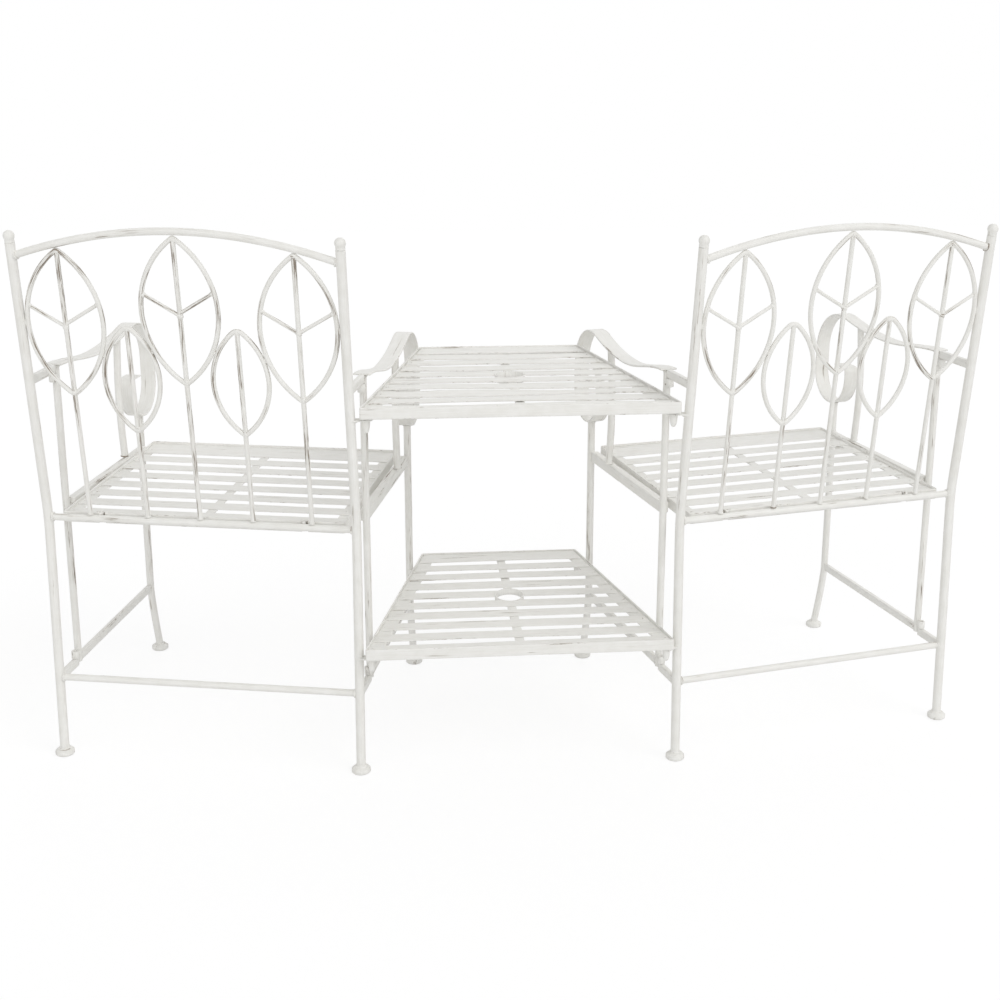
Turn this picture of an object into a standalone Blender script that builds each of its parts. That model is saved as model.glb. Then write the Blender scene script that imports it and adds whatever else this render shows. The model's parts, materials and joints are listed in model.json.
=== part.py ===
"""Garden companion seat: two metal chairs, turned towards each other, joined by a table top and a shelf.

Units are metres, +Z is up, and the front of the set faces -Y. Each chair is built upright in its own frame,
where x runs across, forward is -y and the origin lies on the floor midway between the rear feet. It is then
placed by an empty that stands off the middle of the set and is turned inward.
"""
import math

import bmesh
import bpy
from mathutils import Matrix, Vector

# Placing of the chairs
CHAIR_OFFSET = 0.538
CHAIR_TURN = math.radians(12.6)
CLEARANCE = 0.0003

# Back posts and rails
POST_SPACING = 0.536
POST_RADIUS = 0.008
POST_FORWARD = 0.0125
POST_LENGTH_ABOVE_SEAT = 0.479
POST_BEND_REACH = 0.03
BACK_LEAN = math.radians(6.8)
SEAT_RAIL_HEIGHT = 0.438
RAIL_RADIUS = 0.0065
TOP_RAIL_END = 0.4565
TOP_RAIL_RISE = 0.0458
REAR_STRETCHER_HEIGHT = 0.1455
FINIAL_RADIUS = 0.0095
FINIAL_NECK = 0.001
FOOT_RADIUS = 0.0165
FOOT_EDGE = 0.008
FOOT_HEIGHT = 0.013
FOOT_WELD = 0.001

# Leaves of the back
LEAF_ROD_RADIUS = 0.004
VEIN_RADIUS = 0.003
LEAF_LENGTH = 0.244
LEAF_HALF_WIDTH = 0.0632
LEAF_TIP_RADIUS = 0.004
VEIN_NODE_DROP = 0.127
VEIN_END_DROP = 0.091
VEIN_STAGGER = 0.004
SMALL_LEAF_LENGTH = 0.182
SMALL_LEAF_BOTTOM = 0.1626
SMALL_LEAF_TIP_RADIUS = 0.012

# Side frames
ROD_RADIUS = 0.0063
FRONT_LEG_RADIUS = 0.007
UPRIGHT_FORWARD = 0.0845
FRONT_LEG_FORWARD = 0.443
FRONT_LEG_FLARE = 0.031
FLARE_HEIGHT = 0.1455
SUPPORT_FORWARD = 0.357
INNER_SUPPORT_SETBACK = 0.011
SUPPORT_BOW = 0.009
SUPPORT_RADIUS = 0.0066
SIDE_BAR_THICKNESS = 0.008
SIDE_BAR_HEIGHT = 0.0145
SIDE_STRETCHER_HEIGHT = 0.148
SIDE_RAIL_WIDTH = 0.015
SIDE_RAIL_DEPTH = 0.020
SIDE_RAIL_RISE = 0.0095
SIDE_RAIL_INSET = 0.0055
REST_PEG_FORWARD = 0.375
REST_PEG_RADIUS = 0.004

# Arms
ARM_WIDTH = 0.030
ARM_THICKNESS = 0.003
ARM_REAR = 0.077
ARM_CREST_HEIGHT = 0.692
ARM_REAR_DROP = 0.003
ARM_DIP_FORWARD = 0.243
ARM_CREST_ANGLE = math.radians(16.4)
OUTER_ARM_LIFT = 0.0025
OUTER_CREST_ANGLE = math.radians(13)
SCROLL_FRONT_RADIUS = 0.0845
SCROLL_INNER_RADIUS = 0.0595
SCROLL_HEIGHT = 0.182
SCROLL_END_RISE = 0.0125
HOOK_RADIUS = 0.010
HOOK_LENGTH = 0.033

# Gate hinges between the back posts and the side frames
BRACKET_HEIGHT = 0.0145
BRACKET_THICKNESS = 0.0095
BRACKET_DROP = 0.0027
LOWER_BRACKET_RISE = 0.003
BARREL_RADIUS = 0.0068
BARREL_HEIGHT = 0.0145
BARREL_OFFSET = 0.0125
HINGE_PIN_RADIUS = 0.0035
HINGE_PIN_LENGTH = 0.012

# Seat panels
SEAT_SIDE_GAP = 0.009
SEAT_DEPTH = 0.431
SEAT_TILT = math.radians(1.05)
SEAT_HINGE_AHEAD = 0.0145
SEAT_HINGE_RISE = 0.0035
SEAT_HINGE_INSET = 0.006
SEAT_SLAT_TOP = 0.0005
SEAT_RIM_RISE = 0.004
SEAT_RIM_HEIGHT = 0.019
SEAT_RIM_THICKNESS = 0.004
SEAT_SIDE_FLANGE = 0.022
SEAT_REAR_BAR = 0.034
SEAT_FRONT_BAR = 0.068
SEAT_SLATS = 6
SLAT_WIDTH = 0.032
SLAT_THICKNESS = 0.002
BRACE_WIDTH = 0.016
BRACE_THICKNESS = 0.003
SEAT_HINGE_SPREAD = 0.177
SEAT_PIN_RADIUS = 0.0025
SEAT_LUG_THICKNESS = 0.004
SEAT_LUG_HEIGHT = 0.009
SEAT_NOTCH_WIDTH = 0.010
SEAT_EAR_WIDTH = 0.007
SEAT_EAR_DEPTH = 0.009

# Table top and shelf
TABLE_DROP = 0.0365
SHELF_HEIGHT = 0.2355
TRAY_GAP = 0.0162
TRAY_EXTRA_TAPER = math.radians(0.35)
TRAY_REAR_OVERHANG = 0.0177
TRAY_FRONT_OVERHANG = 0.0306
TRAY_RIM_HEIGHT = 0.0198
TRAY_RIM_THICKNESS = 0.003
TRAY_RIM_RISE = 0.0025
TRAY_SIDE_FLANGE = 0.028
TRAY_REAR_BAR = 0.0245
TRAY_FRONT_BAR = 0.0505
TRAY_SLATS = 8
TRAY_SLAT_WIDTH = 0.0315
TRAY_SLAT_THICKNESS = 0.0025
HOLE_FROM_REAR = 0.239
HOLE_RADIUS = 0.0242
COLLAR_WALL = 0.002
COLLAR_RISE = 0.004
COLLAR_HEIGHT = 0.0125
PEG_RADIUS = 0.00675
PEG_LENGTH = 0.0265
PEG_INSET = 0.007
PEG_SHOULDER_SHARE = 0.75
PEG_TIP_SHARE = 0.45
PEG_NOSE_SHARE = 0.5
WASHER_RADIUS = 0.0095
WASHER_THICKNESS = 0.002
EYE_PLATE_THICKNESS = 0.003
EYE_PLATE_RADIUS = 0.011
EYE_PLATE_WIDTH = 0.016

# Fineness of the faceted round pieces
TUBE_RESOLUTION = 3
ROD_RESOLUTION = 1
COLLAR_SIDES = 24
ROUND_SIDES = 14
SMALL_SIDES = 10
RIB_SIDES = 6
SMOOTH_ANGLE = math.radians(40)
WELD_DISTANCE = 0.000001
SLOPE_ALLOWANCE = 1.02
FIT_HALVINGS = 40

# Sizes worked out from the ones above
HALF_SPACING = POST_SPACING / 2
LEAN_SLOPE = math.tan(BACK_LEAN)
SCROLL_FRONT = FRONT_LEG_FORWARD + SCROLL_INNER_RADIUS
ARM_CREST_FORWARD = SCROLL_FRONT - SCROLL_FRONT_RADIUS
ARM_REAR_HEIGHT = ARM_CREST_HEIGHT - ARM_REAR_DROP
SCROLL_BOTTOM = ARM_CREST_HEIGHT - SCROLL_HEIGHT
BRACKET_TOP = ARM_CREST_HEIGHT - BRACKET_DROP
LOWER_BRACKET_TOP = SIDE_STRETCHER_HEIGHT + LOWER_BRACKET_RISE
BARREL_FORWARD = UPRIGHT_FORWARD - BARREL_OFFSET
INNER_SUPPORT_FORWARD = SUPPORT_FORWARD - INNER_SUPPORT_SETBACK
SIDE_RAIL_TOP = SEAT_RAIL_HEIGHT + SIDE_RAIL_RISE
SEAT_HINGE_FORWARD = POST_FORWARD + SEAT_HINGE_AHEAD
SEAT_HINGE_HEIGHT = SEAT_RAIL_HEIGHT + SEAT_HINGE_RISE
SEAT_WIDTH = 2 * (HALF_SPACING - SIDE_RAIL_INSET - SEAT_SIDE_GAP) - SIDE_RAIL_WIDTH
FINIAL_TOP = POST_LENGTH_ABOVE_SEAT + FINIAL_NECK + 2 * FINIAL_RADIUS
FRONT_REACH = ((HALF_SPACING + ARM_WIDTH / 2) * math.sin(CHAIR_TURN)
               + (SCROLL_FRONT + ARM_THICKNESS / 2) * math.cos(CHAIR_TURN))
FINIAL_LEAN = (POST_LENGTH_ABOVE_SEAT + FINIAL_NECK + FINIAL_RADIUS) * math.sin(BACK_LEAN) - POST_FORWARD
REAR_REACH = (HALF_SPACING * math.sin(CHAIR_TURN) + FINIAL_LEAN * math.cos(CHAIR_TURN) + FINIAL_RADIUS)
CHAIR_Y = (FRONT_REACH - REAR_REACH) / 2
TRAY_EDGE = HALF_SPACING + TRAY_GAP
TRAY_TAPER = CHAIR_TURN + TRAY_EXTRA_TAPER
PEG_ACROSS = TRAY_EDGE + PEG_INSET
PEG_DRIFT = math.tan(TRAY_EXTRA_TAPER)
FRONT_PEG_ACROSS = PEG_ACROSS + FRONT_LEG_FORWARD * PEG_DRIFT
REAR_PEG_Y = CHAIR_Y + PEG_ACROSS * math.sin(CHAIR_TURN)
FRONT_PEG_Y = (CHAIR_Y + FRONT_PEG_ACROSS * math.sin(CHAIR_TURN)
               - FRONT_LEG_FORWARD * math.cos(CHAIR_TURN))
TRAY_REAR_Y = REAR_PEG_Y + TRAY_REAR_OVERHANG
TRAY_FRONT_Y = FRONT_PEG_Y - TRAY_FRONT_OVERHANG
TRAY_DEPTH = TRAY_REAR_Y - TRAY_FRONT_Y
TRAY_REAR_HALF = (CHAIR_OFFSET - TRAY_EDGE / math.cos(CHAIR_TURN)
                  + (TRAY_REAR_Y - CHAIR_Y) * math.tan(CHAIR_TURN))
TABLE_HEIGHT = ARM_CREST_HEIGHT - TABLE_DROP
TABLE_EYE_TOP = TABLE_HEIGHT - TRAY_RIM_HEIGHT - WASHER_THICKNESS - CLEARANCE
SHELF_EYE_TOP = SHELF_HEIGHT - TRAY_RIM_HEIGHT - WASHER_THICKNESS - CLEARANCE

for old_object in list(bpy.data.objects):
    bpy.data.objects.remove(old_object)

part_collection = bpy.data.collections.new("companion_seat")
bpy.context.scene.collection.children.link(part_collection)


def painted_metal(name, colour, roughness, metallic):
    """A worn painted metal as one Principled surface."""
    material = bpy.data.materials.new(name)
    material.use_nodes = True
    surface = material.node_tree.nodes["Principled BSDF"]
    surface.inputs["Base Color"].default_value = (*colour, 1.0)
    surface.inputs["Roughness"].default_value = roughness
    surface.inputs["Metallic"].default_value = metallic
    return material


FRAME_PAINT = painted_metal("frame_paint", (0.74, 0.73, 0.69), 0.55, 0.0)
RUBBED_PAINT = painted_metal("rubbed_paint", (0.62, 0.60, 0.56), 0.50, 0.2)
SLAT_PAINT = painted_metal("slat_paint", (0.78, 0.77, 0.74), 0.50, 0.0)


# Making and combining shapes

def new_object(name, data):
    """An object in the part's collection."""
    shape = bpy.data.objects.new(name, data)
    part_collection.objects.link(shape)
    return shape


def as_mesh(source):
    """The evaluated shape of an object as a plain mesh object with welded caps; the source is removed."""
    bpy.context.view_layer.update()
    graph = bpy.context.evaluated_depsgraph_get()
    mesh = bpy.data.meshes.new_from_object(source.evaluated_get(graph))
    mesh.transform(source.matrix_world)
    cage = bmesh.new()
    cage.from_mesh(mesh)
    bmesh.ops.remove_doubles(cage, verts=cage.verts, dist=WELD_DISTANCE)
    cage.to_mesh(mesh)
    cage.free()
    bpy.data.objects.remove(source)
    return new_object("shape", mesh)


def combine(base, operation, others):
    """Join the other shapes to the base, or cut them out of it, and remove them."""
    for other in others:
        step = base.modifiers.new(operation, "BOOLEAN")
        step.operation = operation
        step.object = other
        base = as_mesh(base)
        bpy.data.objects.remove(other)
    return base


def join(base, *others):
    return combine(base, "UNION", others)


def cut(base, *others):
    return combine(base, "DIFFERENCE", others)


def tube(points, radius, resolution=TUBE_RESOLUTION, closed=False):
    """A round bar along a path."""
    path = bpy.data.curves.new("path", "CURVE")
    path.dimensions = "3D"
    path.bevel_depth = radius
    path.bevel_resolution = resolution
    path.use_fill_caps = True
    spline = path.splines.new("POLY")
    spline.points.add(len(points) - 1)
    for spline_point, place in zip(spline.points, points):
        spline_point.co = (*place, 1.0)
    spline.use_cyclic_u = closed
    return as_mesh(new_object("path", path))


def cylinder(start, end, radius, sides=SMALL_SIDES):
    """A straight round bar between two points."""
    start = Vector(start)
    end = Vector(end)
    along = end - start
    place = Matrix.Translation((start + end) / 2) @ along.to_track_quat("Z", "Y").to_matrix().to_4x4()
    cage = bmesh.new()
    bmesh.ops.create_cone(cage, cap_ends=True, segments=sides, radius1=radius, radius2=radius,
                          depth=along.length, matrix=place)
    return from_cage(cage)


def block(low, high):
    """A box between two opposite corners."""
    low = Vector(low)
    high = Vector(high)
    size = Matrix.Diagonal((*(high - low), 1.0))
    cage = bmesh.new()
    bmesh.ops.create_cube(cage, size=1.0, matrix=Matrix.Translation((low + high) / 2) @ size)
    return from_cage(cage)


def from_cage(cage):
    mesh = bpy.data.meshes.new("shape")
    cage.to_mesh(mesh)
    cage.free()
    return new_object("shape", mesh)


def turned(profile, place, sides=ROUND_SIDES):
    """A turned solid from an outline of (radius, height) that runs from its top to its bottom."""
    mesh = bpy.data.meshes.new("profile")
    corners = [(radius, 0.0, height) for radius, height in profile]
    mesh.from_pydata(corners, [(i, i + 1) for i in range(len(corners) - 1)], [])
    shape = new_object("profile", mesh)
    lathe = shape.modifiers.new("lathe", "SCREW")
    lathe.steps = sides
    lathe.render_steps = sides
    lathe.use_merge_vertices = True
    lathe.merge_threshold = WELD_DISTANCE
    shape.matrix_world = place
    return as_mesh(shape)


def flat_plate(outlines, low, high):
    """A flat plate between two heights; the first outline is its edge and the others are holes."""
    shape = bpy.data.curves.new("plate", "CURVE")
    shape.dimensions = "2D"
    shape.fill_mode = "BOTH"
    shape.extrude = (high - low) / 2
    for outline in outlines:
        spline = shape.splines.new("POLY")
        spline.points.add(len(outline) - 1)
        for spline_point, (x, y) in zip(spline.points, outline):
            spline_point.co = (x, y, 0.0, 1.0)
        spline.use_cyclic_u = True
    plate = new_object("plate", shape)
    plate.location.z = (low + high) / 2
    return as_mesh(plate)


def ribbon(points, x, width, thickness):
    """A flat strip bent along a path of (forward, height) points in the plane at x."""
    path = bpy.data.curves.new("ribbon", "CURVE")
    path.dimensions = "2D"
    path.fill_mode = "NONE"
    path.extrude = width / 2
    spline = path.splines.new("POLY")
    spline.points.add(len(points) - 1)
    for spline_point, (forward, height) in zip(spline.points, points):
        spline_point.co = (-forward, height, 0.0, 1.0)
    strip = new_object("ribbon", path)
    # The path's own x, y and z become the chair's y, z and x.
    strip.matrix_world = Matrix.Translation((x, 0.0, 0.0)) @ Matrix(
        ((0, 0, 1, 0), (1, 0, 0, 0), (0, 1, 0, 0), (0, 0, 0, 1)))
    strip = as_mesh(strip)
    wall = strip.modifiers.new("wall", "SOLIDIFY")
    wall.thickness = thickness
    wall.offset = 0.0
    wall.use_even_offset = True
    return as_mesh(strip)


def place_piece(shape, name, parent, material):
    """Name a finished piece, hang it on its empty and shade its round faces smooth."""
    shape.name = name
    shape.data.name = name
    shape.parent = parent
    shape.data.materials.clear()
    shape.data.materials.append(material)
    shape.data.shade_smooth()
    shape.data.set_sharp_from_angle(angle=SMOOTH_ANGLE)
    return shape


def empty(name, location, turn=(0.0, 0.0, 0.0), parent=None):
    marker = new_object(name, None)
    marker.location = location
    marker.rotation_euler = turn
    marker.parent = parent
    return marker


# The chair's own lines

def spot(x, forward, height):
    """A point of a chair from its place across, ahead of the rear feet and above the floor."""
    return Vector((x, -forward, height))


def back_spot(x, up):
    """A point of the leaning back, measured up along it from the rear seat rail."""
    return spot(x, POST_FORWARD - up * math.sin(BACK_LEAN), SEAT_RAIL_HEIGHT + up * math.cos(BACK_LEAN))


def post_forward(height):
    """How far ahead of the rear feet the post's middle lies at a height away from its bend."""
    if height < SEAT_RAIL_HEIGHT:
        return POST_FORWARD * height / SEAT_RAIL_HEIGHT
    return POST_FORWARD - (height - SEAT_RAIL_HEIGHT) * LEAN_SLOPE


def post_path(x):
    """The post's middle line, rounded at the bend."""
    lower = spot(x, post_forward(SEAT_RAIL_HEIGHT - POST_BEND_REACH), SEAT_RAIL_HEIGHT - POST_BEND_REACH)
    corner = spot(x, POST_FORWARD, SEAT_RAIL_HEIGHT)
    upper = back_spot(x, POST_BEND_REACH)
    bend_steps = 4
    bend = []
    for i in range(bend_steps + 1):
        share = i / bend_steps
        bend.append(lower.lerp(corner, share).lerp(corner.lerp(upper, share), share))
    return [spot(x, 0.0, FOOT_EDGE), *bend, back_spot(x, POST_LENGTH_ABOVE_SEAT)]


def leg_path(x):
    """The front leg's middle line, straight under the arm and flared forward at the foot."""
    steps = 5
    flare_power = 1.25
    points = [spot(x, FRONT_LEG_FORWARD, SCROLL_BOTTOM - ARM_THICKNESS / 2 - CLEARANCE)]
    for i in range(steps + 1):
        share = i / steps
        height = FLARE_HEIGHT + (FOOT_EDGE - FLARE_HEIGHT) * share
        points.append(spot(x, FRONT_LEG_FORWARD + FRONT_LEG_FLARE * share ** flare_power, height))
    return points


def arc(centre, radius, start, end, steps):
    """Points of a circle's arc in a plane, from one angle in degrees to another."""
    points = []
    for i in range(steps + 1):
        angle = math.radians(start + (end - start) * i / steps)
        points.append((centre[0] + radius * math.cos(angle), centre[1] + radius * math.sin(angle)))
    return points


class ArmLine:
    """An arm strip's middle line: level at its rear end, over a dip and a crest and round the scroll."""

    def __init__(self, lift, crest_angle):
        self.crest_height = ARM_CREST_HEIGHT + lift
        self.crest_angle = crest_angle
        self.bend_forward = ARM_CREST_FORWARD - SCROLL_FRONT_RADIUS * math.sin(crest_angle)
        self.bend_height = self.crest_height - SCROLL_FRONT_RADIUS * (1 - math.cos(crest_angle))
        self.dip_height = self.bend_height - math.tan(crest_angle) * (self.bend_forward - ARM_DIP_FORWARD) / 2

    def rise(self, forward):
        """Height of the line between its rear end and the bend where the scroll begins."""
        if forward < ARM_DIP_FORWARD:
            share = (forward - ARM_REAR) / (ARM_DIP_FORWARD - ARM_REAR)
            return ARM_REAR_HEIGHT + (self.dip_height - ARM_REAR_HEIGHT) * share ** 2 * (3 - 2 * share)
        share = (forward - ARM_DIP_FORWARD) / (self.bend_forward - ARM_DIP_FORWARD)
        return self.dip_height + (self.bend_height - self.dip_height) * share ** 2

    def path(self):
        """Points from the rear end over the crest and round the scroll to the hook inside it."""
        rear_steps = 20
        points = []
        for i in range(rear_steps):
            forward = ARM_REAR + (self.bend_forward - ARM_REAR) * i / rear_steps
            points.append((forward, self.rise(forward)))
        front_centre = (ARM_CREST_FORWARD, self.crest_height - SCROLL_FRONT_RADIUS)
        points += arc(front_centre, SCROLL_FRONT_RADIUS, 90 + math.degrees(self.crest_angle), 0, 9)
        inner_centre = (FRONT_LEG_FORWARD, SCROLL_BOTTOM + SCROLL_INNER_RADIUS)
        points += arc(inner_centre, SCROLL_INNER_RADIUS, 0, -180, 12)
        hook_centre = (FRONT_LEG_FORWARD - SCROLL_INNER_RADIUS + HOOK_RADIUS,
                       inner_centre[1] + SCROLL_END_RISE)
        points += arc(hook_centre, HOOK_RADIUS, 180, 90, 4)
        points.append((hook_centre[0] + HOOK_LENGTH, hook_centre[1] + HOOK_RADIUS))
        return points

    def room_under(self, forward, radius):
        """Highest level that a rod of this radius can reach under the strip without touching it."""
        edges = (forward - radius, forward, forward + radius)
        return min(self.rise(edge) for edge in edges) - ARM_THICKNESS / 2 * SLOPE_ALLOWANCE - CLEARANCE


INNER_ARM = ArmLine(0.0, ARM_CREST_ANGLE)
OUTER_ARM = ArmLine(OUTER_ARM_LIFT, OUTER_CREST_ANGLE)


def peg_across(forward):
    """Place across a chair of the tray peg that lies this far ahead of the rear one."""
    return PEG_ACROSS + forward * PEG_DRIFT


# Back of a chair

def foot_profile(leg_radius):
    """Outline of the welded foot disc."""
    neck = leg_radius + FOOT_WELD
    return [(0.0, FOOT_HEIGHT), (neck, FOOT_HEIGHT), (FOOT_RADIUS, FOOT_EDGE), (FOOT_RADIUS, 0.0),
            (0.0, 0.0)]


def eye_plate(support, peg, top):
    """A flat plate from a support's middle line to a tray's peg, and the cutter for its eye."""
    low = top - EYE_PLATE_THICKNESS
    along = Vector((peg.x - support.x, peg.y - support.y, 0.0))
    strip = block((0.0, -EYE_PLATE_WIDTH / 2, low), (along.length, EYE_PLATE_WIDTH / 2, top))
    turn = math.atan2(along.y, along.x)
    strip.data.transform(Matrix.Translation((support.x, support.y, 0.0)) @ Matrix.Rotation(turn, 4, "Z"))
    ring = cylinder((peg.x, peg.y, low), (peg.x, peg.y, top), EYE_PLATE_RADIUS, ROUND_SIDES)
    reach = EYE_PLATE_THICKNESS
    eye = cylinder((peg.x, peg.y, low - reach), (peg.x, peg.y, top + reach), PEG_RADIUS + CLEARANCE * 2)
    return join(strip, ring), eye


def hinge_bar(x, top, margin=0.0):
    """A flat bar on edge from the post to the hinge pin of the side frame, grown by a margin."""
    low = top - BRACKET_HEIGHT
    rear = post_forward((top + low) / 2)
    half = BRACKET_THICKNESS / 2 + margin
    end = BARREL_FORWARD + half
    return block(spot(x - half, end, low - margin), spot(x + half, rear, top + margin))


def back_post(x, inner):
    """A back post with its foot disc, hinge bars and pins, and the eye plates of an inner post."""
    post = tube(post_path(x), POST_RADIUS)
    foot = turned(foot_profile(POST_RADIUS), Matrix.Translation(spot(x, 0.0, 0.0)))
    upper_low = BRACKET_TOP - BRACKET_HEIGHT
    sunk = BRACKET_HEIGHT / 2
    upper_pin = cylinder(spot(x, BARREL_FORWARD, upper_low - HINGE_PIN_LENGTH),
                         spot(x, BARREL_FORWARD, upper_low + sunk), HINGE_PIN_RADIUS)
    lower_pin = cylinder(spot(x, BARREL_FORWARD, LOWER_BRACKET_TOP - sunk),
                         spot(x, BARREL_FORWARD, LOWER_BRACKET_TOP + HINGE_PIN_LENGTH), HINGE_PIN_RADIUS)
    bars = (hinge_bar(x, BRACKET_TOP), hinge_bar(x, LOWER_BRACKET_TOP))
    post = join(post, foot, *bars, upper_pin, lower_pin)
    if inner:
        peg = spot(math.copysign(PEG_ACROSS, x), 0.0, 0.0)
        for top in (TABLE_EYE_TOP, SHELF_EYE_TOP):
            plate, eye = eye_plate(spot(x, post_forward(top), 0.0), peg, top)
            post = cut(join(post, plate), eye)
    return post


def finial(x):
    """The ball on a post's top."""
    ball_steps = 5
    ball_middle = FINIAL_NECK + FINIAL_RADIUS
    neck_angle = math.asin(POST_RADIUS / FINIAL_RADIUS)
    profile = []
    for i in range(ball_steps + 1):
        angle = (math.pi - neck_angle) * i / ball_steps
        profile.append((FINIAL_RADIUS * math.sin(angle), ball_middle + FINIAL_RADIUS * math.cos(angle)))
    profile += [(POST_RADIUS, 0.0), (0.0, 0.0)]
    base = back_spot(x, POST_LENGTH_ABOVE_SEAT + CLEARANCE)
    return turned(profile, Matrix.Translation(base) @ Matrix.Rotation(-BACK_LEAN, 4, "X"))


def between_posts(points):
    """A round rail along the points, with its ends shaped to the posts."""
    rail = tube(points, RAIL_RADIUS)
    envelopes = [tube(post_path(side * HALF_SPACING), POST_RADIUS + CLEARANCE) for side in (-1, 1)]
    return cut(rail, *envelopes)


def top_rail_up(x):
    """How far up the back the arched top rail's middle line lies."""
    return TOP_RAIL_END + TOP_RAIL_RISE * (1 - (x / HALF_SPACING) ** 2)


def top_rail():
    steps = 14
    points = []
    for i in range(steps + 1):
        x = HALF_SPACING * (2 * i / steps - 1)
        points.append(back_spot(x, top_rail_up(x)))
    return between_posts(points)


def seat_rail():
    """The rear seat rail with the lugs and pins that the seat panel turns on."""
    middle = post_forward(SEAT_RAIL_HEIGHT)
    rail = between_posts([spot(side * HALF_SPACING, middle, SEAT_RAIL_HEIGHT) for side in (-1, 1)])
    half = SEAT_LUG_THICKNESS / 2
    lug_reach = SEAT_LUG_HEIGHT / 2
    pin_reach = SEAT_NOTCH_WIDTH / 2 + SEAT_EAR_WIDTH
    for side in (-1, 1):
        x = side * SEAT_HINGE_SPREAD
        lug = block(spot(x - half, SEAT_HINGE_FORWARD + lug_reach, SEAT_HINGE_HEIGHT - lug_reach),
                    spot(x + half, middle, SEAT_HINGE_HEIGHT + lug_reach))
        pin = cylinder(spot(x - pin_reach, SEAT_HINGE_FORWARD, SEAT_HINGE_HEIGHT),
                       spot(x + pin_reach, SEAT_HINGE_FORWARD, SEAT_HINGE_HEIGHT), SEAT_PIN_RADIUS)
        rail = join(rail, lug, pin)
    return rail


def rear_stretcher():
    """The low rail between the rear legs, clear of the lower hinge bars beside its ends."""
    middle = post_forward(REAR_STRETCHER_HEIGHT)
    rail = between_posts([spot(side * HALF_SPACING, middle, REAR_STRETCHER_HEIGHT) for side in (-1, 1)])
    bars = [hinge_bar(side * HALF_SPACING, LOWER_BRACKET_TOP, CLEARANCE) for side in (-1, 1)]
    return cut(rail, *bars)


# Leaves of the back

class LeafShape:
    """A leaf of two equal arcs, with its tip rounded: x across and up along the back."""

    def __init__(self, x, bottom, length, half_width, tip_radius):
        self.x = x
        self.half_length = length / 2
        self.half_width = half_width
        self.tip_radius = tip_radius
        self.middle = bottom + self.half_length
        self.radius = (self.half_length ** 2 + half_width ** 2) / (2 * half_width)

    def arc_centre(self, side):
        """Middle of the arc that bounds the leaf on one side."""
        return self.x - side * (self.radius - self.half_width), self.middle

    def tip(self):
        """Place up the back where the rounded tip ends."""
        inward = self.radius - self.half_width
        return self.middle + math.sqrt((self.radius - self.tip_radius) ** 2 - inward ** 2) + self.tip_radius

    def half_width_at(self, up):
        """Half of the leaf's width at a place up the back."""
        return math.sqrt(self.radius ** 2 - (up - self.middle) ** 2) - (self.radius - self.half_width)

    def outline(self):
        """Points round the leaf: down its right side and up its left."""
        steps = 9
        tip_rise = self.tip() - self.tip_radius - self.middle
        inward = self.radius - self.half_width
        high = math.degrees(math.atan2(tip_rise, inward))
        low = -math.degrees(math.asin(self.half_length / self.radius))
        right = arc(self.arc_centre(1), self.radius, high, low, steps)
        left = [(2 * self.x - x, up) for x, up in right[-2::-1]]
        return [(self.x, self.tip()), *right, *left]


def gap_between(first, first_side, second, second_side):
    """Least distance between the facing arcs of two leaves, over their rods."""
    x1, up1 = first.arc_centre(first_side)
    x2, up2 = second.arc_centre(second_side)
    return math.hypot(x2 - x1, up2 - up1) - first.radius - second.radius - 2 * LEAF_ROD_RADIUS


def large_leaf(x):
    """A large leaf hung under the top rail."""
    tip = top_rail_up(x) - RAIL_RADIUS - LEAF_ROD_RADIUS - CLEARANCE
    bottom = tip - LEAF_LENGTH
    trial = LeafShape(x, bottom, LEAF_LENGTH, LEAF_HALF_WIDTH, LEAF_TIP_RADIUS)
    return LeafShape(x, bottom + tip - trial.tip(), LEAF_LENGTH, LEAF_HALF_WIDTH, LEAF_TIP_RADIUS)


def small_leaf(outer, middle):
    """The leaf that fills the space between a large outer leaf and the middle one until it meets both."""
    def trial(x, half_width):
        return LeafShape(x, SMALL_LEAF_BOTTOM, SMALL_LEAF_LENGTH, half_width, SMALL_LEAF_TIP_RADIUS)

    narrow = SMALL_LEAF_TIP_RADIUS
    wide = (outer.x - middle.x) / 2
    for _ in range(FIT_HALVINGS):
        half_width = (narrow + wide) / 2
        near = middle.x
        far = outer.x
        for _ in range(FIT_HALVINGS):
            leaf = trial((near + far) / 2, half_width)
            if gap_between(middle, 1, leaf, -1) < gap_between(leaf, 1, outer, -1):
                near = leaf.x
            else:
                far = leaf.x
        if gap_between(leaf, 1, outer, -1) > CLEARANCE:
            narrow = half_width
        else:
            wide = half_width
    return trial(leaf.x, narrow)


def mirrored(leaf):
    """The same leaf on the other side of the chair's middle."""
    bottom = leaf.middle - leaf.half_length
    return LeafShape(-leaf.x, bottom, 2 * leaf.half_length, leaf.half_width, leaf.tip_radius)


def leaf_piece(leaf, veined, stagger=0.0):
    """Bent rod outline, midrib down to the seat rail and, on a large leaf, a pair of veins."""
    ring = tube([back_spot(x, up) for x, up in leaf.outline()], LEAF_ROD_RADIUS, ROD_RESOLUTION, closed=True)
    foot = back_spot(leaf.x, RAIL_RADIUS + CLEARANCE)
    rib = cylinder(foot, back_spot(leaf.x, leaf.tip()), LEAF_ROD_RADIUS, RIB_SIDES)
    ring = join(ring, rib)
    if veined:
        for side, rise in ((-1, stagger), (1, 0.0)):
            node = back_spot(leaf.x, leaf.tip() - VEIN_NODE_DROP + rise)
            end_up = leaf.tip() - VEIN_END_DROP + rise
            end = back_spot(leaf.x + side * leaf.half_width_at(end_up), end_up)
            ring = join(ring, cylinder(node, end, VEIN_RADIUS, RIB_SIDES))
    return ring


# Side frames

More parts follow.
